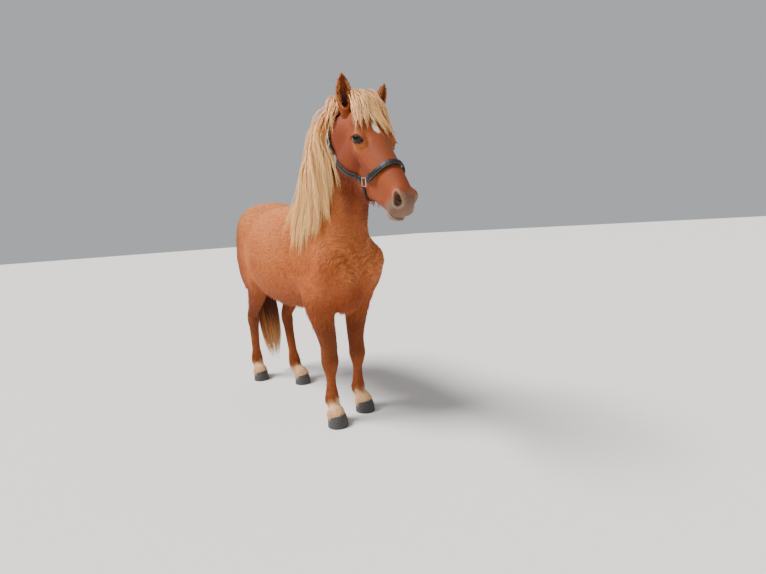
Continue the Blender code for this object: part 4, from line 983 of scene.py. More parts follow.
def lie_of(points, normals):
    """The way the coat lies on the skin: back along the trunk, down the legs and down the face."""
    x, _, z = points.T
    ways = np.tile([-1.0, 0.0, -0.30], (len(points), 1))
    ways[:, 2] -= 0.9 * smooth_step(x, 0.15, 0.45)
    ways[:, 2] += 0.8 * ball_share(points * [1, 0, 1], (-0.20, 0, 0.86), (0.14, 1, 0.12), 0.5)
    ways = blend(ways, np.array([-0.55, 0.0, -0.85]), smooth_step(z, 1.25, 1.45) * smooth_step(x, 0.40, 0.55))
    for whorl in WHORLS:
        away = points - whorl
        spin = 0.7 * away + 0.7 * np.cross(normals, away)
        spin /= np.maximum(np.linalg.norm(away, axis=1), 1e-3)[:, None]
        ways = blend(ways, spin, ball_share(points, whorl, (0.13, 0.10, 0.15), 0.5))
    ways = blend(ways, np.array([-0.12, 0.0, -1.0]), on_leg(points))
    from_star = HEAD.place(points) - np.array([0.150, 0.0, 0.015])
    ways = blend(ways, unit(from_star @ HEAD.axes, 1e-3), on_head(points))
    for name, up, _, _, near in by_ear(points):
        ways = blend(ways, EAR_FRAMES[name].axes[0], smooth_step(up, 0.0, 0.03) * near)
    wave = np.stack([wander(points, 0.16, salt) for salt in (11, 12, 13)], 1)
    ways = unit(ways) + 0.14 * wave
    ways -= normals * np.sum(ways * normals, axis=1)[:, None]
    return unit(ways, 1e-6)


def scattered(points, normals, triangles, count, weight, draw):
    """Roots spread over the skin by weight, with their normals."""
    corners = points[triangles]
    areas = np.linalg.norm(np.cross(corners[:, 1] - corners[:, 0], corners[:, 2] - corners[:, 0]), axis=1) / 2
    total = np.cumsum(areas * weight(corners.mean(1)))
    picks = np.searchsorted(total, (np.arange(count) + draw.random(count)) / count * total[-1])
    picks = np.minimum(picks, len(triangles) - 1)
    one, two = draw.random(count), draw.random(count)
    flip = one + two > 1
    one[flip], two[flip] = 1 - one[flip], 1 - two[flip]
    shares = np.stack([1 - one - two, one, two], 1)
    spots, outs = (np.einsum("nk,nkd->nd", shares, rows[triangles[picks]]) for rows in (points, normals))
    return spots, unit(outs)


def strand_arrays(paths, outs, widths, thick):
    """Closed hairs of three sides through paths of K points, the last one a tip.

    paths and outs are (N, K, 3), widths (N, K) and thick (N, K).
    """
    count, steps = paths.shape[:2]
    along = np.gradient(paths, axis=1)
    across = unit(np.cross(along, outs))
    up = unit(np.cross(across, along))
    half = across * (widths / 2)[..., None]
    rings = np.stack([paths - half, paths + half, paths + up * thick[..., None]], 2)[:, :-1]
    points = np.concatenate([rings.reshape(count, -1, 3), paths[:, -1:]], 1)
    size = points.shape[1]
    faces = [(0, 1, 2)]
    last = 3 * (steps - 2)
    for k in range(0, last, 3):
        for i in range(3):
            j = (i + 1) % 3
            faces += [(k + i, k + 3 + i, k + 3 + j), (k + i, k + 3 + j, k + j)]
    faces += [(last + i, size - 1, last + (i + 1) % 3) for i in range(3)]
    triangles = np.array(faces)[None] + (np.arange(count) * size)[:, None, None]
    return points.reshape(-1, 3), triangles.reshape(-1, 3)


def unwrapped(points, normals):
    """A place in the unit square for each point: six sides of the shape, each in its own cell."""
    low, high = points.min(0), points.max(0)
    scaled = (points - low) / (high - low).max()
    axis = np.abs(normals).argmax(1)
    side = np.take_along_axis(normals, axis[:, None], 1)[:, 0] > 0
    flat = np.take_along_axis(scaled, np.array([[1, 2], [0, 2], [0, 1]])[axis], 1)
    cell = np.stack([axis, side.astype(int)], 1) / [3, 2]
    return cell + 0.005 + flat * [0.32, 0.48]


BAKE_PATCH = 0.003
PIECE_TRIANGLES = 180000


def hair_pieces(name, paths, outs, widths, thick, colours, material):
    """Hairs as joined meshes of under 200,000 triangles, coloured and unwrapped root by root."""
    steps = paths.shape[1]
    limit = PIECE_TRIANGLES // (6 * (steps - 2) + 4)
    ring = np.array([[0, 0], [1, 0], [0.5, 0.3]])
    patch = [ring * [1, 0.2] + [0, k / (steps - 1)] for k in range(steps - 1)] + [np.array([[0.5, 1.2]])]
    patch = np.concatenate(patch) * BAKE_PATCH / 1.2
    made = []
    for start in range(0, len(paths), limit):
        part = slice(start, start + limit)
        points, triangles = strand_arrays(paths[part], outs[part], widths[part], thick[part])
        mesh = triangle_mesh(name, points, triangles)
        per_ring = np.repeat(colours[part][:, :-1], 3, axis=1)
        paint(mesh, np.concatenate([per_ring, colours[part][:, -1:]], 1).reshape(-1, 3))
        roots = unwrapped(paths[part][:, 0], outs[part][:, 0])
        places = (roots[:, None] + patch[None]).reshape(-1, 2)
        layer = mesh.uv_layers.new(name="OFBake")
        layer.data.foreach_set("uv", places[triangles.ravel()].astype(np.float32).ravel())
        label = name if len(paths) <= limit else f"{name}_{start // limit + 1}"
        made.append(add_piece(label, mesh, material, False))
    return made


def fill(node, **sockets):
    """Set a node's unlinked sockets by name, with _ for a space."""
    for name, value in sockets.items():
        node.inputs[name.replace("_", " ")].default_value = value


class Look:
    """A Principled material, with a pattern laid in the object's own coordinates."""

    def __init__(self, name, pattern=None, **sockets):
        self.material = bpy.data.materials.new(name)
        self.material.use_nodes = True
        self.shader = self.material.node_tree.nodes["Principled BSDF"]
        if pattern:
            self.pattern = self.add(pattern, **sockets)
            self.link(self.add("ShaderNodeTexCoord"), "Object", self.pattern, "Vector")

    def add(self, kind, **sockets):
        node = self.material.node_tree.nodes.new(kind)
        fill(node, **sockets)
        return node

    def link(self, source, output, target, socket):
        self.material.node_tree.links.new(source.outputs[output], target.inputs[socket])

    def relief(self, strength, distance):
        """Bumps that follow the pattern."""
        bump = self.add("ShaderNodeBump", Strength=strength, Distance=distance)
        self.link(self.pattern, "Fac", bump, "Height")
        self.link(bump, "Normal", self.shader, "Normal")

    def ramp(self, *stops):
        """Colours that follow the pattern between two stops of (place, colour)."""
        ramp = self.add("ShaderNodeValToRGB")
        for element, (place, colour) in zip(ramp.color_ramp.elements, stops):
            element.position = place
            element.color = (*colour, 1)
        self.link(self.pattern, "Fac", ramp, "Fac")
        self.link(ramp, "Color", self.shader, "Base Color")

    def colours_and_shading(self, **span):
        """The mesh's own colours, with painted light and shade on the coat, made lighter and darker by the
        pattern.
        """
        marks = self.add("ShaderNodeAttribute")
        marks.attribute_name = "Coat"
        spread = self.add("ShaderNodeMapRange", **span)
        scale = self.add("ShaderNodeVectorMath")
        scale.operation = "SCALE"
        self.link(self.pattern, "Fac", spread, "Value")
        self.link(marks, "Color", scale, 0)
        self.link(spread, "Result", scale, "Scale")
        self.link(scale, 0, self.shader, "Base Color")


def hair_material(name, roughness, grain, bump=0):
    """Hair that takes its colours, with painted light and shade, from the mesh, with a fine streak of light
    and dark.
    """
    look = Look(name, "ShaderNodeTexNoise", Scale=grain, Detail=3)
    look.colours_and_shading(From_Min=0.3, From_Max=0.7, To_Min=0.72, To_Max=1.22)
    fill(look.shader, Roughness=roughness, Specular_IOR_Level=0.22, Sheen_Weight=0.04,
         Sheen_Tint=(1.0, 0.78, 0.55, 1), Sheen_Roughness=0.45)
    if bump:
        look.relief(bump, 0.002)
    return look.material


def plain_material(name, colour, roughness, grain, metallic=0.0, bump=0.2, shine=0.5):
    look = Look(name, "ShaderNodeTexNoise", Scale=grain, Detail=4)
    colour = np.array(colour)
    look.ramp((0.3, colour * 0.8), (0.7, np.minimum(colour * 1.2, 1)))
    look.relief(bump, 0.001)
    fill(look.shader, Roughness=roughness, Metallic=metallic, Specular_IOR_Level=shine)
    return look.material


def horn_material():
    """Slate grey horn with growth rings that run level round the hoof."""
    look = Look("horn", "ShaderNodeTexWave", Scale=42, Distortion=3, Detail=3)
    look.pattern.bands_direction = "Z"
    look.ramp((0, (0.024, 0.025, 0.028)), (1, (0.105, 0.098, 0.092)))
    look.relief(0.25, 0.001)
    fill(look.shader, Roughness=0.55, Specular_IOR_Level=0.25)
    return look.material


def eye_material():
    """A dark brown iris round a wide, level pupil, under a wet surface."""
    look = Look("eye_wet", "ShaderNodeTexNoise", Scale=900)
    look.colours_and_shading(To_Min=0.5, To_Max=1.5)
    fill(look.shader, Roughness=0.10, Specular_IOR_Level=0.2, Coat_Weight=0.2, Coat_Roughness=0.02)
    return look.material


FLESH = ["torso", "neck", "head", "ear_right", "ear_left"]
for leg_name in STANCE:
    upper_part = "forearm" if "fore" in leg_name else "gaskin"
    FLESH += [f"{leg_name}_{part}" for part in (upper_part, "cannon", "pastern")]


def skin_piece():
    mesh = skin_mesh()
    points, normals, triangles = mesh_arrays(mesh)
    paint(mesh, coat_colour(points) * 0.85)
    skin = add_piece("skin", mesh, hair_material("skin_coat", 0.72, 260, 0.35))
    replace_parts(skin, *FLESH)
    return points, normals, triangles


TUFT_DEPTH = 0.0012
TUFT_THICKNESS = 0.0008
BARE_RIMS = ((OPENINGS, 0.0015), (NOSTRILS, 0.004), (MOUTH, 0.004))


def short_coat(name, skin, count, length, width, lift, weight, steps, draw, droop):
    """Short flat tufts over part of the skin, along the lie of the coat, bent down by a droop."""
    roots, outs = scattered(*skin, count, weight, draw)
    clear = roots[:, 2] > SOLE_CUT + 0.03
    for shapes, gap in BARE_RIMS:
        clear &= shape_gap(roots, shapes) > gap
    roots, outs = roots[clear], outs[clear]
    total = len(roots)
    ways = lie_of(roots, outs)
    ways = ways + np.cross(outs, ways) * draw.normal(0, 0.14, total)[:, None]
    lengths = length * draw.uniform(0.75, 1.3, total) * (1 - 0.6 * on_ear(roots))
    widths = width * draw.uniform(0.75, 1.25, total)
    lifts = lift * draw.uniform(0.5, 1.5, total)
    share = np.linspace(0, 1, steps)
    rise = np.sin(share * np.pi * 0.75)
    paths = (roots[:, None] - outs[:, None] * TUFT_DEPTH
             + ways[:, None] * (lengths[:, None] * share)[..., None]
             + outs[:, None] * (lifts[:, None] * rise)[..., None])
    paths[..., 2] -= droop * lengths[:, None] * share**2
    colours = coat_colour(roots) * draw.normal(1, 0.12, total)[:, None]
    colours = np.clip(colours[:, None] * np.linspace(0.80, 1.16, steps)[:, None], 0, 1)
    outs = np.repeat(outs[:, None], steps, axis=1)
    thick = np.full((total, steps), TUFT_THICKNESS)
    widths = widths[:, None] * (1 - 0.75 * share**2)
    return hair_pieces(name, paths, outs, widths, thick, colours, COAT_HAIR)


COAT_HAIR = hair_material("coat_hair", 0.62, 420)
MANE_HAIR = hair_material("mane_hair", 0.50, 600)


def draped(roots, ways, lengths, lifts, steps, forms, pull):
    """Paths of hair that leave along their own ways and fall, at their own heights over the skin."""
    share = np.linspace(0, 1, steps) ** 1.2
    stations = np.linspace(0, 1, lifts.shape[1])
    heights = np.stack([np.interp(share, stations, row) for row in lifts])
    paths, outs = [roots], [slope_at(roots, forms)[1]]
    for k, stride in enumerate(np.diff(share), 1):
        ways = unit(ways + pull * (6 / steps))
        spots = settled(paths[-1] + ways * (lengths * stride)[:, None], heights[:, k], forms, 3)
        ways = unit(spots - paths[-1], 1e-6)
        near, out = slope_at(spots, forms)
        paths.append(spots)
        outs.append(np.where(near[:, None] < FAR / 2, out, outs[-1]))
    return np.stack(paths, 1), np.stack(outs, 1)


def clumped(paths, outs, each, spread, wave, draw, close=0.35):
    """Many hairs round each guide: spread apart at the root, drawn together and waved towards the tip."""
    count, steps = paths.shape[:2]
    total = count * each
    share = np.linspace(0, 1, steps)
    across = unit(np.cross(np.gradient(paths, axis=1), outs))
    paths, outs, across = (np.repeat(rows, each, axis=0) for rows in (paths, outs, across))
    side = draw.normal(0, spread, total)[:, None] * (1 - (1 - close) * share**1.5)
    high = np.abs(draw.normal(0, spread * 0.35, total))[:, None] * np.sin(np.pi * (0.15 + 0.7 * share))
    phase = draw.uniform(0, 2 * np.pi, total)[:, None]
    turns = draw.uniform(0.8, 2.2, total)[:, None]
    sway = np.sin(phase + share * turns * 2 * np.pi)
    side = side + wave * draw.normal(1, 0.5, total)[:, None] * sway * share
    moved = paths + across * side[..., None] + outs * high[..., None]
    at = draw.uniform(0.70, 1.0, total)[:, None] * share * (steps - 1)
    base = np.clip(at.astype(int), 0, steps - 2)
    t = (at - base)[..., None]
    rows = np.arange(total)[:, None]
    return moved[rows, base] * (1 - t) + moved[rows, base + 1] * t, outs


def taper_widths(count, steps, width, draw):
    return width * draw.uniform(0.6, 1.4, count)[:, None] * (1 - 0.85 * np.linspace(0, 1, steps) ** 2)


ROOT_SHADE = 0.86
TIP_SHADE = 1.08


def hair_colours(paths, base, other, share, draw):
    """Hair colours that vary hair by hair between two tones, and lighten to the tip."""
    count, steps = paths.shape[:2]
    colours = blend(base, other, share + draw.normal(0, 0.22, count)) * draw.normal(1, 0.10, count)[:, None]
    shade = ROOT_SHADE + (TIP_SHADE - ROOT_SHADE) * np.linspace(0, 1, steps) ** 0.6
    return np.clip(colours[:, None] * shade[:, None], 0, 1)


def strands(name, paths, outs, each, spread, width, base, other, mix, wave, draw):
    """Clumped hair round guides, coloured hair by hair, as finished pieces."""
    paths, outs = clumped(paths, outs, each, spread, wave, draw)
    widths = taper_widths(*paths.shape[:2], width, draw)
    colours = hair_colours(paths, base, other, mix, draw)
    hair_pieces(name, paths, outs, widths, widths * 0.35, colours, MANE_HAIR)


MANE_GUIDES = 300
PLUME_GUIDES = 70
MANE_SWELL = (0.30, 0.80, 1.10, 1.0, 0.75, 0.5)
HAIR_TOP = 1.845
PLUME_HEIGHTS = (0.030, 0.085, 0.112, 0.100, 0.070, 0.040)


def mane_pieces(draw, guides):
    """The mane falls in layers over the right side of the neck."""
    t = (np.arange(guides) + draw.random(guides)) / guides
    layer = draw.random(guides) * 2.3
    roots = np.stack([0.420 + 0.345 * t, -0.006 - 0.084 * t - 0.016 * (1 - layer / 1.2), 1.43 + 0.26 * t], 1)
    roots = settled(roots, -0.006, BODY_FORMS)
    ways = np.stack([draw.normal(-0.12, 0.14, guides), np.full(guides, -0.9), 0.1 + 0.25 * layer], 1)
    tips = 1.02 + 0.38 * t + draw.uniform(-0.05, 0.05, guides)
    lengths = roots[:, 2] - tips + 0.10 + 0.02 * layer
    tops = 0.008 + 0.046 * layer * np.clip(0.3 + 1.6 * t, 0, 1) * draw.uniform(0.7, 1.15, guides)
    pull = np.stack([-0.04 - 0.16 * t**2, np.zeros(guides), np.full(guides, -0.6)], 1)
    paths, outs = draped(roots, ways, lengths, np.outer(tops, MANE_SWELL), 11, NECK_FORMS, pull)
    strands("mane", paths, outs, 11, 0.012, 0.0042, FLAXEN, AMBER, 0.18, 0.006, draw)


def plume_pieces(draw, guides):
    """The top of the mane rises in a plume behind the ears."""
    side = draw.uniform(-0.45, 1.05, guides)
    rows = np.ones(guides)
    place = np.stack([0.742 + 0.03 * draw.random(guides), -0.102 + 0.026 * side, 1.70 * rows], 1)
    roots = settled(place, -0.006, BODY_FORMS)
    ways = np.stack([0.10 + 0.25 * draw.random(guides), 0.9 * side, rows], 1)
    tops = (1.05 - np.where(side < 0, -1.9, 0.3) * side) * draw.uniform(0.45, 1.08, guides)
    lifts = np.outer(tops, PLUME_HEIGHTS)
    pull = np.stack([np.minimum(0.3 * side, 0), 0.3 * side, -0.45 * rows], 1)
    paths, outs = draped(roots, ways, 0.24 + 0.06 * abs(side), lifts, 11, NECK_FORMS, pull)
    low = paths[..., 2].max(1) < HAIR_TOP
    strands("mane_plume", paths[low], outs[low], 11, 0.010, 0.0036, AMBER, FLAXEN, 0.55, 0.006, draw)


FORELOCK_GUIDES = 130
FORELOCK_HEIGHTS = (0.030, 0.062, 0.056, 0.038, 0.020, 0.010)


def forelock_pieces(draw, guides):
    """The forelock rises between the ears and falls over the forehead, more to the left side."""
    spread = draw.uniform(-0.5, 0.5, guides)
    layer = draw.random(guides)
    roots = HEAD.out(np.stack([0.022 - 0.040 * layer, 0.078 * spread + 0.004, np.zeros(guides)], 1))
    roots = settled(roots, -0.004, HEAD_FORMS)
    ways = np.stack([np.full(guides, 0.5), 1.5 * spread - 0.02, 0.6 + 0.6 * layer], 1) @ HEAD.axes
    lengths = draw.uniform(0.14, 0.28, guides) - 0.05 * abs(spread - 0.1)
    lifts = np.outer(0.25 + 1.15 * layer, FORELOCK_HEIGHTS) * draw.uniform(0.8, 1.15, guides)[:, None]
    pull = np.array([0.05, 0.0, -0.5]) + np.outer(0.6 + spread, HEAD.axes[1]) * 0.16
    paths, outs = draped(roots, ways, lengths, lifts, 10, HEAD_FORMS, pull)
    strands("forelock", paths, outs, 10, 0.009, 0.0032, FLAXEN, AMBER, 0.30, 0.006, draw)


FRINGE_GUIDES = 130
FRINGE_STEPS = 5


def ear_fringe(draw, guides):
    """Longer hair that closes over the mouth of each ear."""
    for name, ear in EAR_FRAMES.items():
        up = draw.uniform(0.16, 0.80, guides) * EAR_LENGTH
        side = draw.choice([-1.0, 1.0], guides)
        wide = np.interp(up / EAR_LENGTH, (0.0, 0.25, 0.5, 0.72, 0.9), (0.024, 0.029, 0.034, 0.028, 0.015))
        roots = ear.out(np.stack([up, side * wide * 0.86, np.full(guides, 0.008)], 1))
        inward = -side * draw.uniform(0.2, 0.8, guides)
        ways = ear.out(np.stack([np.full(guides, 0.9), inward, draw.uniform(0.15, 0.6, guides)], 1))
        ways = unit(ways - ear.origin)
        reach = draw.uniform(0.016, 0.034, guides)[:, None] * np.linspace(0, 1, FRINGE_STEPS)
        paths = roots[:, None] + ways[:, None] * reach[..., None] - ear.axes[2] * (reach**2 * 8)[..., None]
        outs = np.tile(ear.axes[2], (guides, FRINGE_STEPS, 1))
        strands(f"ear_fringe_{name}", paths, outs, 3, 0.002, 0.0013, GOLDEN, EAR_DARK, 0.45, 0.001, draw)


TAIL_GUIDES = 190
TAIL_STEPS = 13
TAIL_LINE = [
    (-0.672, 0.000, 1.245, 0.022, 0.022),
    (-0.725, 0.000, 1.200, 0.028, 0.024),
    (-0.790, 0.004, 1.110, 0.042, 0.028),
    (-0.795, 0.022, 0.940, 0.062, 0.034),
    (-0.772, 0.040, 0.700, 0.082, 0.042),
    (-0.758, 0.056, 0.450, 0.086, 0.042),
    (-0.750, 0.064, 0.270, 0.072, 0.034),
    (-0.744, 0.066, TAIL_TIP_HEIGHT, 0.040, 0.020),
]
TAIL_BANDS = ((GOLDEN, -0.54, -0.34, 0.45, 1.0), (FLAXEN, -0.42, -0.24, 0.2, 0.8))


def tail_pieces(draw, guides):
    """The tail: hair all round the dock that falls close together, dark red-brown above, taken darker as
    painted shade, and flaxen below.
    """
    line = spline_rows(TAIL_LINE, 6)
    turn = draw.uniform(0, 2 * np.pi, guides)[:, None]
    reach = np.sqrt(draw.uniform(0.10, 1.0, guides))[:, None]
    top = draw.uniform(1.04, 1.245, guides)[:, None]
    tip = TAIL_TIP_HEIGHT - 0.070 + 0.22 * draw.random(guides)[:, None] ** 1.5
    z = top + (tip - top) * np.linspace(0, 1, TAIL_STEPS)
    x, y, wide, deep = (np.interp(-z, -line[:, 2], line[:, k]) for k in (0, 1, 3, 4))
    reach = reach * np.interp(np.arange(TAIL_STEPS), (0, 2, 4), (0.55, 0.95, 1.0))
    paths = np.stack([x - np.cos(turn) * deep * reach, y + np.sin(turn) * wide * reach, z], 2)
    outs = unit(np.stack([-np.cos(turn), np.sin(turn), 0.15 + 0 * turn], 2) * np.ones((1, TAIL_STEPS, 1)))
    paths, outs = clumped(paths, outs, 13, 0.008, 0.006, draw, close=0.7)
    widths = taper_widths(*paths.shape[:2], 0.0042, draw)
    # Dark red-brown hair above, taken darker as painted shade where the tail hangs under the rump; the bands
    # below turn it golden and flaxen.
    colours = hair_colours(paths, TAIL_DARK, TAIL_RED, 0.28, draw)
    depth = draw.uniform(-0.10, 0.10, len(paths))[:, None] - paths[..., 2]
    for other, start, end, least, most in TAIL_BANDS:
        share = smooth_step(depth, start, end) * draw.uniform(least, most, len(paths))[:, None]
        colours = blend(colours, other, share)
    pieces = hair_pieces("tail_hair", paths, outs, widths, widths * 0.4, colours, MANE_HAIR)
    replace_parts(pieces[0], "tail")


PUPIL = (0.0110, 0.0055)
EYE_STRETCH = 1.14
LID_SIDES = 8
LASH_STEPS = 5


def lid_rim(height, reach):
    """Points round the almond between the lids, on a ball a height over the eye."""
    turn = np.linspace(0, 2 * np.pi, 48, endpoint=False)
    x = 0.0250 * reach * np.cos(turn)
    y = 0.0122 * reach * np.sin(turn) * (1 - 0.25 * abs(np.cos(turn)) ** 3)
    z = np.sqrt(np.maximum((EYE_RADIUS + height) ** 2 - (x / EYE_STRETCH) ** 2 - y**2, 1e-6))
    return np.stack([x, y, z], 1)


def eyeball(name, side_frame, material):
    """A ball stretched along the slit, painted with iris, pupil and a dark edge."""
    bm = bmesh.new()
    bmesh.ops.create_icosphere(bm, subdivisions=5, radius=EYE_RADIUS)
    for vert in bm.verts:
        vert.co = Vector(side_frame.out((vert.co.x * EYE_STRETCH, vert.co.y, vert.co.z)))
    face_out(bm)
    mesh = written(bm, bpy.data.meshes.new("eyeball"))
    x, y, z = side_frame.place(mesh_arrays(mesh)[0]).T
    pupil = (1 - smooth_step(np.hypot(x / PUPIL[0], y / PUPIL[1]), 0.9, 1.15)) * (z > 0)
    edge = smooth_step(np.hypot(x, y), 0.0175, 0.0200)
    paint(mesh, layered(np.tile(IRIS, (len(x), 1)), (PUPIL_BLACK, pupil), (DARK_SKIN, edge)))
    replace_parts(add_piece(f"eyeball_{name}", mesh, material), f"eye_{name}")


def lid(name, side_frame, material):
    """A soft rim round the opening between the lids."""
    ring = lid_rim(0.0012, 1.0)
    turns = 2 * np.pi * np.arange(LID_SIDES) / LID_SIDES
    outward = unit(ring)
    across = np.cross(unit(np.roll(ring, -1, 0) - np.roll(ring, 1, 0)), outward)
    rows = (ring[:, None] + 0.0021 * np.cos(turns)[:, None] * across[:, None]
            + 0.0017 * np.sin(turns)[:, None] * outward[:, None])
    one = np.arange(len(ring) * LID_SIDES).reshape(-1, LID_SIDES)
    right, up = np.roll(one, -1, 1), np.roll(one, -1, 0)
    quads = np.stack([one, right, np.roll(up, -1, 1), up], -1).reshape(-1, 4)
    triangles = np.concatenate([quads[:, [0, 1, 2]], quads[:, [0, 2, 3]]])
    mesh = triangle_mesh("lid", side_frame.out(rows.reshape(-1, 3)), triangles)
    bm = bmesh.new()
    bm.from_mesh(mesh)
    face_out(bm)
    add_piece(f"lid_rim_{name}", written(bm, mesh), material)


def lashes(name, side_frame, draw):
    """Dark lashes along the upper lid, bent down."""
    upper = lid_rim(0.0030, 1.06)
    upper = upper[(side_frame.out(upper) - side_frame.origin)[:, 2] > 0.002]
    roots = np.repeat(upper, 3, axis=0) + draw.normal(0, 0.0006, (3 * len(upper), 3))
    ways = (side_frame.out(unit(roots)) - side_frame.origin
            + [0, 0, -0.35] + draw.normal(0, 0.18, roots.shape))
    share = np.linspace(0, 1, LASH_STEPS)
    reach = draw.uniform(0.008, 0.015, len(roots))[:, None] * share
    paths = side_frame.out(roots)[:, None] + ways[:, None] * reach[..., None]
    paths[..., 2] -= reach * share * 0.5
    outs = np.tile(side_frame.axes[2], (len(paths), LASH_STEPS, 1)) + [0, 0, 0.5]
    widths = np.tile(np.linspace(0.0006, 0.0001, LASH_STEPS), (len(paths), 1))
    colours = np.tile(EAR_DARK, (len(paths), LASH_STEPS, 1))
    hair_pieces(f"lashes_{name}", paths, outs, widths, widths * 0.6, colours, MANE_HAIR)


def eye_pieces(draw):
    """Dark eyes with their lids and lashes."""
    wet = eye_material()
    rim = plain_material("eye_rim", DARK_SKIN, 0.35, 500)
    for name, side in zip(SIDE_NAMES, SIDES):
        side_frame = eye_frame(side)
        eyeball(name, side_frame, wet)
        lid(name, side_frame, rim)
        lashes(name, side_frame, draw)


def finish_nodes():
    """Horn, leather and steel on the solids that stay as they are."""
    horn = horn_material()
    leather = plain_material("leather", (0.010, 0.009, 0.010), 0.5, 420, bump=0.5, shine=0.25)
    steel = plain_material("steel", (0.62, 0.61, 0.58), 0.28, 90, metallic=1.0)
    looks = (("ring", steel), ("buckle", steel), ("_hoof", horn), ("strap", leather), ("noseband", leather))
    for name, node in frame["nodes"].items():
        for word, look in looks:
            if word in name:
                node.data.materials.clear()
                node.data.materials.append(look)
                break


NOSE_GUIDES = [(0.349, -0.062, -0.146), (0.378, -0.062, -0.105), (0.400, -0.056, -0.055),
               (0.408, -0.030, -0.010)]
NOSE_GUIDES += [(0.410, 0.0, -0.002)] + mirrored(NOSE_GUIDES)[::-1]
CHEEK_GUIDES = [(0.124, -0.098, -0.222), (0.150, -0.095, -0.215), (0.190, -0.090, -0.206),
                (0.250, -0.075, -0.196), (0.312, -0.064, -0.1765)]
STITCH_PITCH = 0.0052
STITCH_LENGTH = 0.0036
STITCH_RISE = 0.0004


def stitching(name, guides, edge, height, material):
    """Two rows of thread along a strap, each at a distance from its middle and a height over the skin."""
    path = settled(spline_rows(HEAD.out(guides), 4), height, HEAD_FORMS)
    reach = np.concatenate([[0], np.cumsum(np.linalg.norm(np.diff(path, axis=0), axis=1))])
    marks = np.arange(0.006, reach[-1] - 0.008, STITCH_PITCH)
    rows = []
    for side in SIDES:
        for share in (0.0, 0.5, 1.0):
            spots = np.stack([np.interp(marks + STITCH_LENGTH * share, reach, line) for line in path.T], 1)
            _, out = slope_at(spots, HEAD_FORMS)
            across = np.cross(unit(np.gradient(spots, axis=0)), out)
            spots = settled(spots + side * edge * across, height, HEAD_FORMS)
            rows.append(spots + out * STITCH_RISE * (share == 0.5))
    paths = np.concatenate([np.stack(rows[:3], 1), np.stack(rows[3:], 1)])
    outs = slope_at(paths.reshape(-1, 3), HEAD_FORMS)[1].reshape(paths.shape)
    size = np.full(paths.shape[:2], 1.0)
    colours = np.tile(THREAD, (*paths.shape[:2], 1))
    hair_pieces(name, paths, outs, size * 0.0011, size * 0.0006, colours, material)


def headcollar_thread():
    thread = hair_material("thread", 0.6, 900)
    stitching("thread_noseband", NOSE_GUIDES, 0.0105, 0.0100, thread)
    stitching("thread_cheek_right", CHEEK_GUIDES, 0.0092, 0.0072, thread)
    stitching("thread_cheek_left", mirrored(CHEEK_GUIDES), 0.0092, 0.0072, thread)


CAMERA_PLACE = (2.461, -1.302, 1.137)
CAMERA_YAW = 140.86
CAMERA_PITCH = -8.01
CAMERA_ROLL = -3.66
CAMERA_LENS = 18.92
SUN_FROM = (-0.65, -1.05, 1.75)
FRONT_PLACE = (3.6, -2.6, 2.4)
FRONT_AIM = (0.3, 0, 0.9)


def add_camera():
    yaw, pitch, roll = (math.radians(angle) for angle in (CAMERA_YAW, CAMERA_PITCH, CAMERA_ROLL))
    ahead = Vector((math.cos(yaw) * math.cos(pitch), math.sin(yaw) * math.cos(pitch), math.sin(pitch)))
    right = Vector((math.sin(yaw), -math.cos(yaw), 0))
    up = right.cross(ahead)
    tilt = Matrix.Rotation(-roll, 3, ahead)
    right, up = tilt @ right, tilt @ up
    camera = add_object("camera", bpy.data.cameras.new("camera"))
    camera.data.sensor_width = 36
    camera.data.lens = CAMERA_LENS
    camera.data.clip_start = 0.02
    turn = Matrix((right, up, -ahead)).transposed().to_4x4()
    camera.matrix_world = Matrix.Translation(Vector(CAMERA_PLACE) - Vector((BOX_MIDDLE, 0, 0))) @ turn
    bpy.context.scene.camera = camera


def add_studio():
    """A pale floor under an even sky, with a warm sun and a weak lamp in front."""
    bm = bmesh.new()
    bmesh.ops.create_grid(bm, x_segments=1, y_segments=1, size=60)
    floor = add_object("floor", written(bm, bpy.data.meshes.new("floor")))
    paper = Look("floor_paper")
    fill(paper.shader, Base_Color=(0.74, 0.73, 0.71, 1), Roughness=0.95)
    floor.data.materials.append(paper.material)
    floor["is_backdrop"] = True
    world = bpy.data.worlds.new("studio")
    bpy.context.scene.world = world
    world.use_nodes = True
    fill(world.node_tree.nodes["Background"], Color=(0.90, 0.92, 0.95, 1), Strength=0.50)
    sun = bpy.data.lights.new("sky", "SUN")
    sun.energy = 6.6
    sun.angle = math.radians(24)
    sun.color = (1.0, 0.98, 0.95)
    add_object("sky", sun).rotation_euler = Vector(SUN_FROM).to_track_quat("Z", "Y").to_euler()
    front = bpy.data.lights.new("front", "AREA")
    front.shape = "DISK"
    front.size = 2.5
    front.energy = 9
    lamp = add_object("front", front)
    lamp.location = FRONT_PLACE
    lamp.rotation_euler = (Vector(FRONT_AIM) - Vector(FRONT_PLACE)).to_track_quat("-Z", "Y").to_euler()


def body_weight(points):
    return (1 - on_head(points)) * (1 - on_leg(points))


def head_weight(points):
    """The head, with little over the muzzle."""
    return on_head(points) * (1 - 0.85 * smooth_step(HEAD.place(points)[:, 0], 0.50, 0.56))


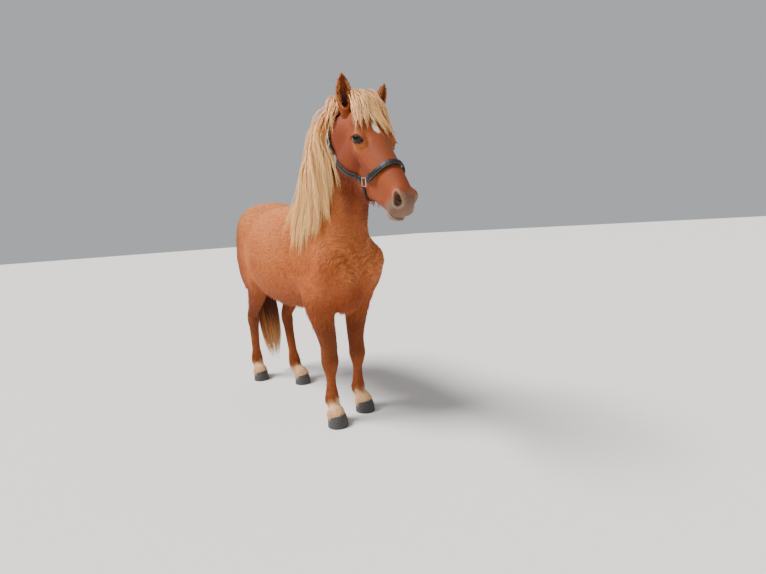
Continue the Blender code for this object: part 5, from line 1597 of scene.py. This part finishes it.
def under_weight(points):
    """Longer hair under the belly, behind the elbows and along the jaw."""
    x, _, z = points.T
    belly = (1 - smooth_step(z, 0.70, 0.86)) * (1 - on_leg(points)) * smooth_step(0.62 - abs(x), 0, 0.1)
    a, _, c = HEAD.place(points).T
    jaw = on_head(points) * smooth_step(-c, 0.20, 0.25) * (a < 0.5)
    return belly + 2.0 * jaw


def foot_weight(points):
    """Longer hair behind the fetlocks and round the coronets."""
    x, y, z = points.T
    low = on_leg(points) * (1 - smooth_step(z, 0.20, 0.26))
    coronet = 1 - smooth_step(abs(z - 0.085), 0.005, 0.03)
    rear = np.zeros(len(points))
    for hoof_x, hoof_y in (spots["hoof"] for spots in STANCE.values()):
        here = (abs(x - hoof_x) < 0.16) & (abs(y - hoof_y) < 0.09)
        rear[here] = smooth_step(hoof_x - 0.03 - x[here], -0.02, 0.05)
    return low * np.maximum(rear, coronet)


COATS = (
    ("coat_body", 50000, 0.022, 0.0046, 0.0032, body_weight, 3, 0.0),
    ("coat_legs", 19000, 0.016, 0.0032, 0.0022, on_leg, 3, 0.0),
    ("coat_head", 40000, 0.0085, 0.0018, 0.0010, head_weight, 2, 0.0),
    ("coat_under", 4500, 0.030, 0.0030, 0.0045, under_weight, 4, 0.55),
    ("coat_feet", 5000, 0.030, 0.0030, 0.0050, foot_weight, 4, 0.25),
)

add_camera()
add_studio()
finish_nodes()
headcollar_thread()
eye_pieces(np.random.default_rng(25))
SKIN = skin_piece()
everywhere = np.random.default_rng(31)
for coat, count, length, width, lift, weight, steps, droop in COATS:
    short_coat(coat, SKIN, count, length, width, lift, weight, steps, everywhere, droop)
neck_draw = np.random.default_rng(21)
mane_pieces(neck_draw, MANE_GUIDES)
plume_pieces(neck_draw, PLUME_GUIDES)
forelock_pieces(np.random.default_rng(22), FORELOCK_GUIDES)
ear_fringe(np.random.default_rng(24), FRINGE_GUIDES)
tail_pieces(np.random.default_rng(23), TAIL_GUIDES)

boxes = {"cad": cad_box, "looks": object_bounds()}
{key: [list(map(float, corner)) for corner in corners] for key, corners in boxes.items()}
